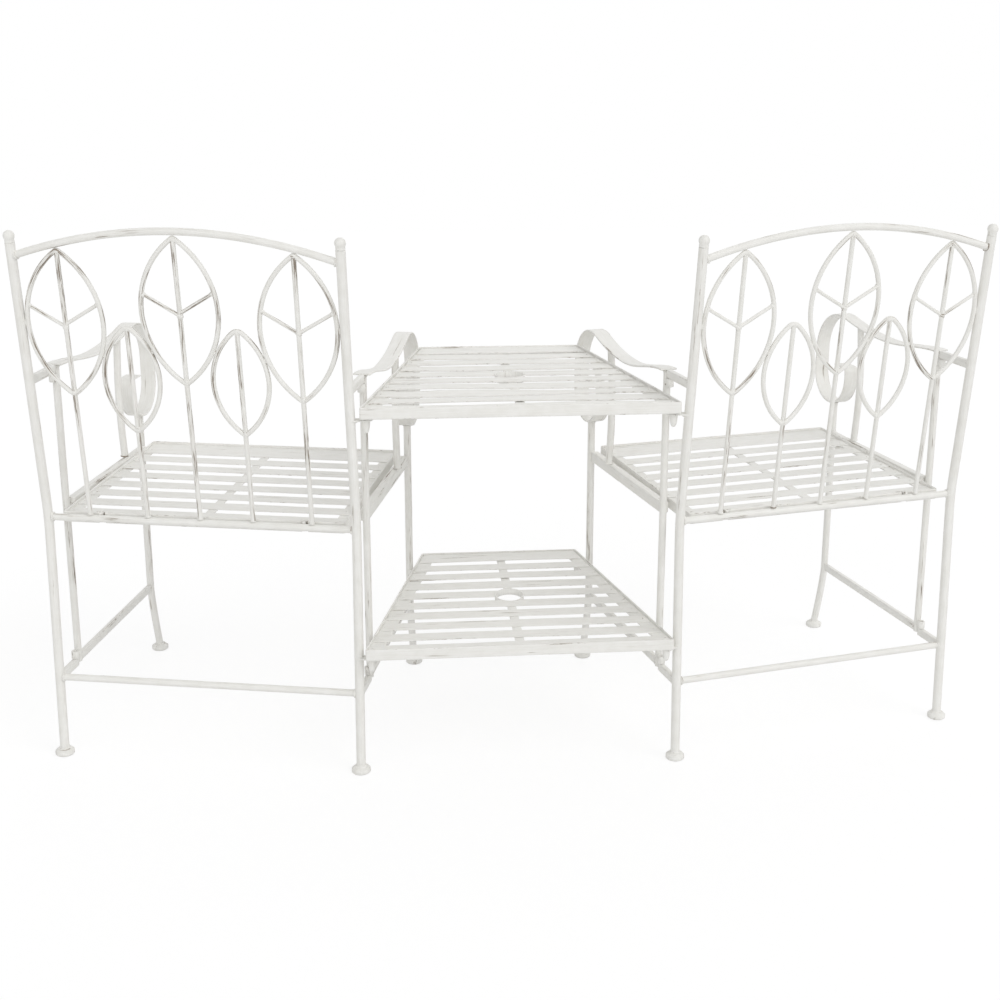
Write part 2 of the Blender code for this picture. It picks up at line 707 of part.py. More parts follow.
def front_leg(x, inner):
    """A front leg with its foot disc and, on an inner leg, the eye plate of the shelf."""
    leg = tube(leg_path(x), FRONT_LEG_RADIUS)
    place = Matrix.Translation(spot(x, FRONT_LEG_FORWARD + FRONT_LEG_FLARE, 0.0))
    leg = join(leg, turned(foot_profile(FRONT_LEG_RADIUS), place))
    if inner:
        peg = spot(math.copysign(FRONT_PEG_ACROSS, x), FRONT_LEG_FORWARD, 0.0)
        plate, eye = eye_plate(spot(x, FRONT_LEG_FORWARD, 0.0), peg, SHELF_EYE_TOP)
        leg = cut(join(leg, plate), eye)
    return leg


def upright(x, arm):
    """The rear rod of a side frame with the two hinge barrels behind it."""
    low = SIDE_STRETCHER_HEIGHT - SIDE_BAR_HEIGHT / 2
    high = arm.room_under(UPRIGHT_FORWARD, ROD_RADIUS)
    rod = cylinder(spot(x, UPRIGHT_FORWARD, low), spot(x, UPRIGHT_FORWARD, high), ROD_RADIUS)
    upper_base = BRACKET_TOP - BRACKET_HEIGHT - CLEARANCE - BARREL_HEIGHT
    for base in (upper_base, LOWER_BRACKET_TOP + CLEARANCE):
        barrel = cylinder(spot(x, BARREL_FORWARD, base), spot(x, BARREL_FORWARD, base + BARREL_HEIGHT),
                          BARREL_RADIUS, ROUND_SIDES)
        rod = join(rod, barrel)
    bore = cylinder(spot(x, BARREL_FORWARD, low), spot(x, BARREL_FORWARD, BRACKET_TOP),
                    HINGE_PIN_RADIUS + CLEARANCE)
    return cut(rod, bore)


def support_rod(x, inner, arm):
    """The bowed rod between side rail and arm, with the eye plate of the table on an inner one."""
    steps = 6
    forward = INNER_SUPPORT_FORWARD if inner else SUPPORT_FORWARD
    low = SIDE_RAIL_TOP + CLEARANCE
    high = arm.room_under(forward, SUPPORT_RADIUS)
    bow_low = low + SUPPORT_RADIUS
    bow_high = high - SUPPORT_RADIUS

    def bowed(share):
        return forward - SUPPORT_BOW * math.sin(share * math.pi)

    points = [spot(x, forward, low)]
    for i in range(steps + 1):
        share = i / steps
        points.append(spot(x, bowed(share), bow_low + (bow_high - bow_low) * share))
    points.append(spot(x, forward, high))
    rod = tube(points, SUPPORT_RADIUS)
    if inner:
        support = spot(x, bowed((TABLE_EYE_TOP - bow_low) / (bow_high - bow_low)), 0.0)
        peg = spot(math.copysign(peg_across(forward), x), forward, 0.0)
        plate, eye = eye_plate(support, peg, TABLE_EYE_TOP)
        rod = cut(join(rod, plate), eye)
    return rod


def side_rail(x):
    """The bar beside the seat, with the peg that the seat panel rests on."""
    toward = math.copysign(1.0, x)
    middle = toward * (HALF_SPACING - SIDE_RAIL_INSET)
    half = SIDE_RAIL_WIDTH / 2
    front = FRONT_LEG_FORWARD - FRONT_LEG_RADIUS - CLEARANCE
    rear = UPRIGHT_FORWARD + ROD_RADIUS + CLEARANCE
    rail = block(spot(middle - half, front, SIDE_RAIL_TOP - SIDE_RAIL_DEPTH),
                 spot(middle + half, rear, SIDE_RAIL_TOP))
    ahead = REST_PEG_FORWARD - SEAT_HINGE_FORWARD
    rim_low = SEAT_SLAT_TOP + SEAT_RIM_RISE - SEAT_RIM_HEIGHT
    seat_low = SEAT_HINGE_HEIGHT + ahead * math.sin(SEAT_TILT) + rim_low * math.cos(SEAT_TILT)
    slope = REST_PEG_RADIUS * math.tan(SEAT_TILT)
    height = seat_low - REST_PEG_RADIUS - slope - CLEARANCE
    peg_end = toward * (SEAT_WIDTH / 2 - 2 * SEAT_RIM_THICKNESS)
    peg = cylinder(spot(middle, REST_PEG_FORWARD, height), spot(peg_end, REST_PEG_FORWARD, height),
                   REST_PEG_RADIUS)
    return join(rail, peg)


def side_stretcher(x):
    """The flat bar on edge between upright and front leg."""
    half = SIDE_BAR_THICKNESS / 2
    front = FRONT_LEG_FORWARD - FRONT_LEG_RADIUS - CLEARANCE
    rear = UPRIGHT_FORWARD + ROD_RADIUS + CLEARANCE
    low = SIDE_STRETCHER_HEIGHT - SIDE_BAR_HEIGHT / 2
    return block(spot(x - half, front, low), spot(x + half, rear, low + SIDE_BAR_HEIGHT))


# Seat panel and trays

def slots(start, count, bar, gap):
    """Start and end of each gap between parallel slats."""
    spans = []
    for i in range(count + 1):
        spans.append((start + i * (bar + gap), start + i * (bar + gap) + gap))
    return spans


def seat_panel():
    """The seat about its hinge axis: x across, -y forward and z up from the axis."""
    rear = SEAT_HINGE_INSET
    front = rear - SEAT_DEPTH
    half = SEAT_WIDTH / 2
    gap = (SEAT_DEPTH - SEAT_REAR_BAR - SEAT_FRONT_BAR - SEAT_SLATS * SLAT_WIDTH) / (SEAT_SLATS + 1)
    skin = SEAT_RIM_THICKNESS / 2
    inside = half - SEAT_RIM_THICKNESS
    outlines = [rectangle(half - skin, rear - skin, front + skin)]
    for start, end in slots(SEAT_REAR_BAR, SEAT_SLATS, SLAT_WIDTH, gap):
        outlines.append(rectangle(half - SEAT_SIDE_FLANGE, rear - start, rear - end))
    slats = flat_plate(outlines, SEAT_SLAT_TOP - SLAT_THICKNESS, SEAT_SLAT_TOP)
    rim_top = SEAT_SLAT_TOP + SEAT_RIM_RISE
    rim_low = rim_top - SEAT_RIM_HEIGHT
    wall = SEAT_RIM_THICKNESS
    rim = flat_plate([rectangle(half, rear, front), rectangle(inside, rear - wall, front + wall)],
                     rim_low, rim_top)
    brace_top = SEAT_SLAT_TOP - SLAT_THICKNESS / 2
    brace = block((-BRACE_WIDTH / 2, front + skin, brace_top - SLAT_THICKNESS / 2 - BRACE_THICKNESS),
                  (BRACE_WIDTH / 2, rear - skin, brace_top))
    panel = join(slats, rim, brace)
    notch_front = -SEAT_LUG_HEIGHT
    for side in (-1, 1):
        x = side * SEAT_HINGE_SPREAD
        reach = SEAT_NOTCH_WIDTH / 2 + SEAT_EAR_WIDTH + SEAT_RIM_THICKNESS
        ears = block((x - reach, -SEAT_EAR_DEPTH, -SEAT_EAR_DEPTH), (x + reach, rear - skin, brace_top))
        notch = block((x - SEAT_NOTCH_WIDTH / 2, notch_front, rim_low - wall),
                      (x + SEAT_NOTCH_WIDTH / 2, rear + wall, rim_top + wall))
        pin_reach = SEAT_NOTCH_WIDTH / 2 + SEAT_EAR_WIDTH + CLEARANCE
        bore = cylinder((x - pin_reach, 0.0, 0.0), (x + pin_reach, 0.0, 0.0), SEAT_PIN_RADIUS + CLEARANCE)
        panel = cut(join(panel, ears), notch, bore)
    panel.data.transform(Matrix.Rotation(-SEAT_TILT, 4, "X"))
    return panel


def rectangle(half, rear, front):
    return [(-half, rear), (half, rear), (half, front), (-half, front)]


def chair_matrix(hand):
    """Where a chair stands: hand is 1 for the left chair, at +X, and -1 for the right one."""
    stand = Matrix.Translation((hand * CHAIR_OFFSET, CHAIR_Y, 0.0))
    return stand @ Matrix.Rotation(-hand * CHAIR_TURN, 4, "Z")


def tray_half_width(y, inset=0.0):
    """Half of a tray's width at y, drawn in at right angles to its sides by the inset."""
    return TRAY_REAR_HALF - (TRAY_REAR_Y - y) * math.tan(TRAY_TAPER) - inset / math.cos(TRAY_TAPER)


def trapezium(rear, front, inset):
    """An outline with sides along the tray's, between two places from front to rear."""
    rear_half = tray_half_width(rear, inset)
    front_half = tray_half_width(front, inset)
    return [(-rear_half, rear), (rear_half, rear), (front_half, front), (-front_half, front)]


def peg_profile(top):
    """Outline of a tray's peg with its washer under the rim and its rounded nose."""
    washer_low = -TRAY_RIM_HEIGHT - WASHER_THICKNESS
    straight_low = washer_low - 2 * EYE_PLATE_THICKNESS
    low = -TRAY_RIM_HEIGHT - PEG_LENGTH
    shoulder = PEG_RADIUS * PEG_SHOULDER_SHARE
    return [(0.0, top), (PEG_RADIUS, top), (PEG_RADIUS, -TRAY_RIM_HEIGHT), (WASHER_RADIUS, -TRAY_RIM_HEIGHT),
            (WASHER_RADIUS, washer_low), (PEG_RADIUS, washer_low), (PEG_RADIUS, straight_low),
            (shoulder, low + PEG_RADIUS * PEG_NOSE_SHARE), (PEG_RADIUS * PEG_TIP_SHARE, low), (0.0, low)]


def tray(peg_forwards):
    """A tapered tray with its rim's top at height 0, its parasol collar and its corner pegs."""
    bars = TRAY_REAR_BAR + TRAY_FRONT_BAR + TRAY_SLATS * TRAY_SLAT_WIDTH
    gap = (TRAY_DEPTH - bars) / (TRAY_SLATS + 1)
    skin = TRAY_RIM_THICKNESS / 2
    outlines = [trapezium(TRAY_REAR_Y - skin, TRAY_FRONT_Y + skin, skin)]
    for start, end in slots(TRAY_REAR_BAR, TRAY_SLATS, TRAY_SLAT_WIDTH, gap):
        outlines.append(trapezium(TRAY_REAR_Y - start, TRAY_REAR_Y - end, TRAY_SIDE_FLANGE))
    slat_top = -TRAY_RIM_RISE
    slats = flat_plate(outlines, slat_top - TRAY_SLAT_THICKNESS, slat_top)
    wall = TRAY_RIM_THICKNESS
    rim = flat_plate([trapezium(TRAY_REAR_Y, TRAY_FRONT_Y, 0.0),
                      trapezium(TRAY_REAR_Y - wall, TRAY_FRONT_Y + wall, wall)], -TRAY_RIM_HEIGHT, 0.0)
    brace_top = slat_top - TRAY_SLAT_THICKNESS / 2
    brace_low = slat_top - TRAY_SLAT_THICKNESS - BRACE_THICKNESS
    brace = block((-BRACE_WIDTH / 2, TRAY_FRONT_Y + skin, brace_low),
                  (BRACE_WIDTH / 2, TRAY_REAR_Y - skin, brace_top))
    hole_y = TRAY_REAR_Y - HOLE_FROM_REAR
    collar_top = slat_top + COLLAR_RISE
    collar = cylinder((0.0, hole_y, collar_top - COLLAR_HEIGHT), (0.0, hole_y, collar_top),
                      HOLE_RADIUS + COLLAR_WALL, COLLAR_SIDES)
    piece = join(slats, rim, brace, collar)
    hole = cylinder((0.0, hole_y, -2 * TRAY_RIM_HEIGHT), (0.0, hole_y, 2 * TRAY_RIM_HEIGHT),
                    HOLE_RADIUS, COLLAR_SIDES)
    piece = cut(piece, hole)
    for hand in (-1, 1):
        for forward in peg_forwards:
            place = chair_matrix(hand) @ spot(-hand * peg_across(forward), forward, 0.0)
            piece = join(piece, turned(peg_profile(brace_top), Matrix.Translation(place), SMALL_SIDES))
    return piece


# The assembly

def build_chair(name, hand):
    """All pieces of one chair, hung on the empty that places it."""
    stand = empty(name + "_chair", chair_matrix(hand).to_translation(), (0.0, 0.0, -hand * CHAIR_TURN))

    def add(piece_name, shape, material=FRAME_PAINT):
        place_piece(shape, name + "_" + piece_name, stand, material)

    outer_x = HALF_SPACING - POST_RADIUS - CLEARANCE - LEAF_ROD_RADIUS - LEAF_HALF_WIDTH
    outer_leaf = large_leaf(outer_x)
    middle_leaf = large_leaf(0.0)
    between_leaf = small_leaf(outer_leaf, middle_leaf)
    add("top_rail", top_rail())
    add("seat_rear_rail", seat_rail())
    add("rear_stretcher", rear_stretcher())
    stagger = VEIN_STAGGER if hand > 0 else 0.0
    add("middle_leaf", leaf_piece(middle_leaf, True, stagger), RUBBED_PAINT)
    for side_name, side in (("outer", hand), ("inner", -hand)):
        x = side * HALF_SPACING
        inner = side_name == "inner"
        arm = INNER_ARM if inner else OUTER_ARM
        add(side_name + "_back_post", back_post(x, inner))
        add(side_name + "_finial", finial(x))
        add(side_name + "_front_leg", front_leg(x, inner))
        add(side_name + "_upright", upright(x, arm))
        add(side_name + "_support_rod", support_rod(x, inner, arm))
        add(side_name + "_side_rail", side_rail(x))
        add(side_name + "_side_stretcher", side_stretcher(x))
        add(side_name + "_arm", ribbon(arm.path(), x, ARM_WIDTH, ARM_THICKNESS))
        large = outer_leaf if side > 0 else mirrored(outer_leaf)
        small = between_leaf if side > 0 else mirrored(between_leaf)
        add(side_name + "_leaf", leaf_piece(large, True, 0.0 if inner else stagger), RUBBED_PAINT)
        add(side_name + "_small_leaf", leaf_piece(small, False), RUBBED_PAINT)
    hinge = empty(name + "_seat_hinge", spot(0.0, SEAT_HINGE_FORWARD, SEAT_HINGE_HEIGHT), parent=stand)
    place_piece(seat_panel(), name + "_seat_panel", hinge, SLAT_PAINT)


def build_set():
    build_chair("left", 1)
    build_chair("right", -1)
    table_lift = empty("table_lift", (0.0, 0.0, TABLE_HEIGHT))
    place_piece(tray((0.0, INNER_SUPPORT_FORWARD)), "table_top", table_lift, SLAT_PAINT)
    shelf_lift = empty("shelf_lift", (0.0, 0.0, SHELF_HEIGHT))
    place_piece(tray((0.0, FRONT_LEG_FORWARD)), "shelf", shelf_lift, SLAT_PAINT)


build_set()
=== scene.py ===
# %% [markdown]
# # A garden companion seat
# Two slatted metal chairs stand a little turned towards each other, with a table top and a shelf between
# them. The whole set is painted off-white and rubbed back, so that dark metal shows along its rods and
# edges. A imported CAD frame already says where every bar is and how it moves. This lesson draws each bar,
# leaf and slat again over that frame, with rounded edges, welds and worn paint, so that the set looks right
# from close by.

# %% Load the frame
import json
import math

import bpy
from mathutils import Matrix, Vector, noise

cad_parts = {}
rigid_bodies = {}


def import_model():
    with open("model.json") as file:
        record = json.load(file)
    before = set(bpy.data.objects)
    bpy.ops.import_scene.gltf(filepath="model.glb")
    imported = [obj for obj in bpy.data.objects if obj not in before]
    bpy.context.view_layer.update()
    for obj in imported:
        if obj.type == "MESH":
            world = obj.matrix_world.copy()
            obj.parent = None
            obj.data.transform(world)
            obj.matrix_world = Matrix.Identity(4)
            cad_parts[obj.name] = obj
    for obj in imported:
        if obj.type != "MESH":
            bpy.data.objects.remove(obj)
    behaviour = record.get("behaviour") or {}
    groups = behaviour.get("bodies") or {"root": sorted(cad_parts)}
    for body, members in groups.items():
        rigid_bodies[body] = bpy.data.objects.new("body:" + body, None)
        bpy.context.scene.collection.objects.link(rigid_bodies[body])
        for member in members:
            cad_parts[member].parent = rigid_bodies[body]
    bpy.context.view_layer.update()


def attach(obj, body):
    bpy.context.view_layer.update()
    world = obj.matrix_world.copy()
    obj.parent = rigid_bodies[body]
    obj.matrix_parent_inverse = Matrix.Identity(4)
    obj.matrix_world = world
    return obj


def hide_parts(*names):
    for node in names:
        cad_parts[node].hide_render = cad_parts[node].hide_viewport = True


for leftover in list(bpy.data.objects):
    bpy.data.objects.remove(leftover)


def rounded(values, digits=3):
    """The numbers of a point, short enough to print."""
    return tuple(round(value, digits) for value in values)


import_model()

# %% [markdown]
# ## Camera
# The picture is taken from behind the set, from a little above the height of its arms. A long lens keeps
# the two chairs in proportion. The set doesn't sit in the middle of the picture, and a small lens shift
# gives that framing without turning the camera.

# %% Camera
CAMERA_PLACE = (0.2275, 2.6548, 1.2404)
CAMERA_TURN = (74.632, -0.393, 173.915)
LENS_LENGTH = 53.886
LENS_SHIFT_ACROSS = -0.03926
LENS_SHIFT_UP = -0.05632

lens = bpy.data.cameras.new("photo_camera")
lens.lens = LENS_LENGTH
lens.shift_x = LENS_SHIFT_ACROSS
lens.shift_y = LENS_SHIFT_UP
camera = bpy.data.objects.new("photo_camera", lens)
camera.location = CAMERA_PLACE
camera.rotation_euler = [math.radians(angle) for angle in CAMERA_TURN]
bpy.context.scene.collection.objects.link(camera)
bpy.context.scene.camera = camera
bpy.context.scene.view_settings.view_transform = "Standard"
print("camera", rounded(camera.location))

# %% [markdown]
# ## Shader maths
# A material in Blender is a graph of nodes. Adding and linking each node by hand hides the idea behind it,
# so one small class stands for a socket. Sums and products of such sockets add the Math nodes that they
# need, and every other kind of node comes from one method.

# %% A socket that can be calculated with
class Wire:
    """An output socket of a node; arithmetic on it adds Math nodes."""

    def __init__(self, tree, socket=None):
        self.tree = tree
        self.socket = socket

    def node(self, kind, settings=None, sockets=None, output=0):
        """Add a node: its settings come first, then the values or links of its sockets."""
        made = self.tree.nodes.new("ShaderNode" + kind)
        for name, value in (settings or {}).items():
            setattr(made, name, value)
        for name, value in (sockets or {}).items():
            if isinstance(value, Wire):
                self.tree.links.new(value.socket, made.inputs[name])
            else:
                made.inputs[name].default_value = value
        return Wire(self.tree, made.outputs[output] if made.outputs else None)

    def maths(self, operation, first, second):
        """A Math node of two values or sockets."""
        return self.node("Math", {"operation": operation}, {0: first, 1: second})

    def __add__(self, other):
        return self.maths("ADD", self, other)

    __radd__ = __add__

    def __sub__(self, other):
        return self.maths("SUBTRACT", self, other)

    def __rsub__(self, other):
        return self.maths("SUBTRACT", other, self)

    def __mul__(self, other):
        return self.maths("MULTIPLY", self, other)

    __rmul__ = __mul__

    def between(self, low, high):
        """Smooth step from 0 at the low value to 1 at the high one."""
        return self.node("MapRange", {"interpolation_type": "SMOOTHSTEP"},
                         {"Value": self, "From Min": low, "From Max": high})

    def mix(self, first, second):
        """The first colour where this mask is 0, and the second where it is 1."""
        return self.node("Mix", {"data_type": "RGBA"}, {0: self, 6: first, 7: second}, 2)


def fresh_tree(owner):
    """The emptied node tree of a material or a world, ready to take nodes."""
    owner.use_nodes = True
    owner.node_tree.nodes.clear()
    return Wire(owner.node_tree)


print("shader maths ready")

# %% [markdown]
# ## Studio
# The photograph is cut out on white. A pale floor and a white surround give that, and the floor still takes
# the soft shadow of the set. The light comes mostly from all round. Three wide lamps shape it a little: one
# high on the right of the picture, one from the far side, and a low one beside the camera that opens the
# shaded sides of the rods. White comes from the surround itself and not from strong lamps, so the paint
# keeps its own colour.

# %% Surround
SURROUND_LIGHT = 0.56
WHITE = (1.0, 1.0, 1.0, 1.0)


def seen_directly(tree):
    """1 for what the camera sees straight on, in a reflection or through glass."""
    straight = tree.node("LightPath", output="Is Camera Ray")
    mirrored_ray = tree.node("LightPath", output="Is Glossy Ray")
    through = tree.node("LightPath", output="Is Transmission Ray")
    return tree.maths("MAXIMUM", tree.maths("MAXIMUM", straight, mirrored_ray), through)


surround = bpy.data.worlds.new("surround")
bpy.context.scene.world = surround
sky = fresh_tree(surround)
soft_light = sky.node("Background", sockets={"Color": WHITE, "Strength": SURROUND_LIGHT})
white_back = sky.node("Background", sockets={"Color": WHITE, "Strength": 1.0})
both_skies = sky.node("MixShader", sockets={0: seen_directly(sky), 1: soft_light, 2: white_back})
sky.node("OutputWorld", sockets={"Surface": both_skies})
print("surround light", SURROUND_LIGHT)

# %% Floor
FLOOR_SIZE = 14.0
FLOOR_DROP = 0.0004
FLOOR_GREY = (0.92, 0.92, 0.92, 1.0)
FLOOR_GLOW = 0.75
FLOOR_WHITE = 1.07

floor_finish = bpy.data.materials.new("pale_floor")
floor_tree = fresh_tree(floor_finish)
floor_paint = floor_tree.node("BsdfDiffuse", sockets={"Color": FLOOR_GREY})
floor_white = floor_tree.node("Emission", sockets={"Color": WHITE, "Strength": FLOOR_WHITE})
glow = seen_directly(floor_tree) * FLOOR_GLOW
floor_mix = floor_tree.node("MixShader", sockets={0: glow, 1: floor_paint, 2: floor_white})
floor_tree.node("OutputMaterial", sockets={"Surface": floor_mix})
floor_corners = [(x * FLOOR_SIZE / 2, y * FLOOR_SIZE / 2, -FLOOR_DROP)
                 for x, y in ((-1, -1), (1, -1), (1, 1), (-1, 1))]
floor_mesh = bpy.data.meshes.new("studio_floor")
floor_mesh.from_pydata(floor_corners, [], [(0, 1, 2, 3)])
floor_mesh.materials.append(floor_finish)
floor = bpy.data.objects.new("studio_floor", floor_mesh)
bpy.context.scene.collection.objects.link(floor)
print("floor", FLOOR_SIZE, "m square")

# %% Lamps
LAMP_DISTANCE = 4.0
LAMPS = {"key_lamp": ((-0.62, 0.55, 0.75), 38, 0.27),
         "front_lamp": ((-0.25, -0.80, 0.75), 50, 0.13),
         "low_lamp": ((0.40, 1.00, 0.25), 60, 0.21)}


def add_lamp(name, source, softness, strength):
    """A soft lamp, far off in the direction of its source; softness is its width in degrees."""
    lamp = bpy.data.lights.new(name, "SUN")
    lamp.angle = math.radians(softness)
    lamp.energy = strength * math.pi
    stand = bpy.data.objects.new(name, lamp)
    stand.location = Vector(source).normalized() * LAMP_DISTANCE
    stand.rotation_euler = (-stand.location).to_track_quat("-Z", "Y").to_euler()
    bpy.context.scene.collection.objects.link(stand)


for name, (source, softness, strength) in LAMPS.items():
    add_lamp(name, source, softness, strength)
print("lamps:", list(LAMPS))

# %% [markdown]
# ## Worn paint
# The paint was brushed on along the bars and then rubbed back by hand. Rubbing leaves long thin streaks of
# dark metal, mostly on the rods of the leaves, and it takes the paint off sharp edges. A flat picture of
# wear would stretch at every bend. Instead each point of a bar carries its place along the bar and across
# it, as if the bar were laid out straight, and noise that is long in one direction and fine in the other
# follows every curve.

# %% Colours and noise
CREAM = (0.800, 0.790, 0.750, 1.0)
CHALK = (0.875, 0.868, 0.840, 1.0)
THIN_PAINT = (0.570, 0.535, 0.470, 1.0)
DARK_METAL = (0.165, 0.117, 0.077, 1.0)
# Each noise has its waves a metre along the bar and across it, and how many finer layers lie on it.
STREAKS = (22.0, 540.0, 5.0)
PATCHES = (8.0, 115.0, 2.0)
BRUSH_MARKS = (20.0, 520.0, 3.0)
CLOUDS = (34.0, 48.0, 3.0)
CHIPS = (90.0, 280.0, 3.0)


def grain(tree, along, across, detail, roughness=0.6):
    """Noise with its own size along the bar and across it."""
    bar = tree.node("Attribute", {"attribute_name": "bar"}, output="Vector")
    laid = tree.node("VectorMath", {"operation": "MULTIPLY"}, {0: bar, 1: (along, across, across)})
    return tree.node("TexNoise", sockets={"Vector": laid, "Scale": 1.0, "Detail": detail,
                                          "Roughness": roughness})


def finish_output(tree, surface_sockets):
    """Close a finish: one Principled surface on the material's output."""
    surface = tree.node("BsdfPrincipled", sockets=surface_sockets)
    tree.node("OutputMaterial", sockets={"Surface": surface})


print("paint from", rounded(CREAM[:3]), "to", rounded(CHALK[:3]), "over", rounded(DARK_METAL[:3]))

# %% [markdown]
# Dark metal shows only where a rubbed patch and a fine streak meet, and thin paint lies round it. On an
# edge the paint goes where a chip or a patch adds to the rubbing. The stems of the leaves are cleaner near
# the seat, where no hand reaches, and so a paint can be told to keep better low down.

# %% The paint itself
THIN_PATCH, THIN_STREAK = (0.52, 0.68), (0.40, 0.60)
BARE_PATCH, BARE_STREAK = (0.59, 0.68), (0.49, 0.58)
BARE_EDGE = (0.98, 1.12)
CHALKY = (0.30, 0.70)
CARE_HEIGHTS = (0.48, 0.68)
THIN_SHOWS, BARE_SHOWS, EDGE_SHOWS = 0.4, 0.85, 0.7
CHIP_SHARE, PATCH_SHARE = 0.6, 0.5
CLOUD_SHARE, BRUSH_SHARE = 0.55, 0.45
BRUSH_RELIEF, CHIP_RELIEF, BARE_RELIEF = 0.35, 0.25, 0.6
RELIEF_STRENGTH, RELIEF_DEPTH = 0.45, 0.0005
PLAIN_ROUGHNESS, CLOUD_ROUGHNESS, BARE_POLISH = 0.56, 0.3, 0.08
BARE_METALLIC = 0.35


def worn_paint(name, rub, edge_rub, lumps=0.0, low_care=0.0):
    """Paint with dark streaks by rub, worn edges by edge_rub, rough welds by lumps; low_care spares stems."""
    finish = bpy.data.materials.new(name)
    tree = fresh_tree(finish)
    edge = tree.node("Attribute", {"attribute_name": "edge"}, output="Fac")
    streaks, patches, brushed, cloudy, chips = [
        grain(tree, *pattern) for pattern in (STREAKS, PATCHES, BRUSH_MARKS, CLOUDS, CHIPS)]
    rubbing = patches + rub
    if low_care:
        place = tree.node("TexCoord", output="Object")
        height = tree.node("SeparateXYZ", sockets={0: place}, output="Z")
        rubbing = rubbing - (1.0 - height.between(*CARE_HEIGHTS)) * low_care
    thin = rubbing.between(*THIN_PATCH) * streaks.between(*THIN_STREAK)
    bare_streaks = rubbing.between(*BARE_PATCH) * streaks.between(*BARE_STREAK)
    edge_wear = edge * edge_rub + chips * CHIP_SHARE + patches * PATCH_SHARE
    bare_edges = edge_wear.between(*BARE_EDGE)
    bare = 1.0 - (1.0 - bare_streaks) * (1.0 - bare_edges * EDGE_SHOWS)
    paint = (cloudy * CLOUD_SHARE + brushed * BRUSH_SHARE).between(*CHALKY).mix(CREAM, CHALK)
    colour = (bare * BARE_SHOWS).mix((thin * THIN_SHOWS).mix(paint, THIN_PAINT), DARK_METAL)
    relief_height = brushed * BRUSH_RELIEF + chips * (CHIP_RELIEF + lumps) - bare * BARE_RELIEF
    relief = tree.node("Bump", sockets={"Height": relief_height, "Strength": RELIEF_STRENGTH,
                                        "Distance": RELIEF_DEPTH})
    roughness = PLAIN_ROUGHNESS + (cloudy - 0.5) * CLOUD_ROUGHNESS - bare * BARE_POLISH
    finish_output(tree, {"Base Color": colour, "Roughness": roughness, "Metallic": bare * BARE_METALLIC,
                         "Normal": relief})
    return finish


POST_PAINT = worn_paint("post_paint", rub=-0.07, edge_rub=0.36)
ROD_PAINTS = {"left": worn_paint("left_rod_paint", rub=0.005, edge_rub=0.38),
              "right": worn_paint("right_rod_paint", rub=-0.04, edge_rub=0.36)}
LEAF_PAINTS = {"left": worn_paint("left_leaf_paint", rub=0.105, edge_rub=0.36, low_care=0.085),
               "right": worn_paint("right_leaf_paint", rub=0.0, edge_rub=0.36, low_care=0.02)}
SLAT_PAINT = worn_paint("slat_paint", rub=-0.07, edge_rub=0.385)
WELD_PAINT = worn_paint("weld_paint", rub=0.04, edge_rub=0.0, lumps=1.2)
print("paints:", [finish.name for finish in bpy.data.materials if finish.name.endswith("_paint")])

# %% [markdown]
# The hinge pins are the only bare metal. They are plain steel rod that has gone dull, so a fine ring
# pattern and a little brown in the noise are enough.

# %% Dull steel of the pins
PIN_GREY = (0.34, 0.32, 0.30, 1.0)
PIN_BROWN = (0.20, 0.16, 0.125, 1.0)
PIN_RINGS = (900.0, 160.0, 3.0)
PIN_RING_ROUGHNESS = 0.5
BROWNED = (0.40, 0.65)
PIN_RELIEF_STRENGTH, PIN_RELIEF_DEPTH = 0.3, 0.0002
PIN_ROUGHNESS, BROWN_ROUGHNESS = 0.38, 0.3
PIN_METALLIC = 0.85


def dull_steel(name):
    """Grey steel with fine brown rings."""
    finish = bpy.data.materials.new(name)
    tree = fresh_tree(finish)
    rings = grain(tree, *PIN_RINGS, roughness=PIN_RING_ROUGHNESS)
    colour = rings.between(*BROWNED).mix(PIN_GREY, PIN_BROWN)
    relief = tree.node("Bump", sockets={"Height": rings, "Strength": PIN_RELIEF_STRENGTH,
                                        "Distance": PIN_RELIEF_DEPTH})
    roughness = PIN_ROUGHNESS + rings * BROWN_ROUGHNESS
    finish_output(tree, {"Base Color": colour, "Roughness": roughness, "Metallic": PIN_METALLIC,
                         "Normal": relief})
    return finish


PIN_STEEL = dull_steel("pin_steel")
print("steel:", PIN_STEEL.name)

# %% [markdown]
# ## Drawing with bars and plates
# Nearly everything on the set is a bar that is bent along a line, a plate that is cut to an outline, or a
# small turned piece. Blender's curves and modifiers can make those, but they would lose the place along the
# bar that the paint needs. So a small class gathers points and faces bar by bar, with the paint's
# coordinates beside them, and makes one mesh for each piece of the set.

# %% A shape that is gathered bar by bar
PAINT = 0
WELD = 1
STEEL = 2
WEAR_STEP = 0.731
SHARP_ANGLE = math.radians(48)


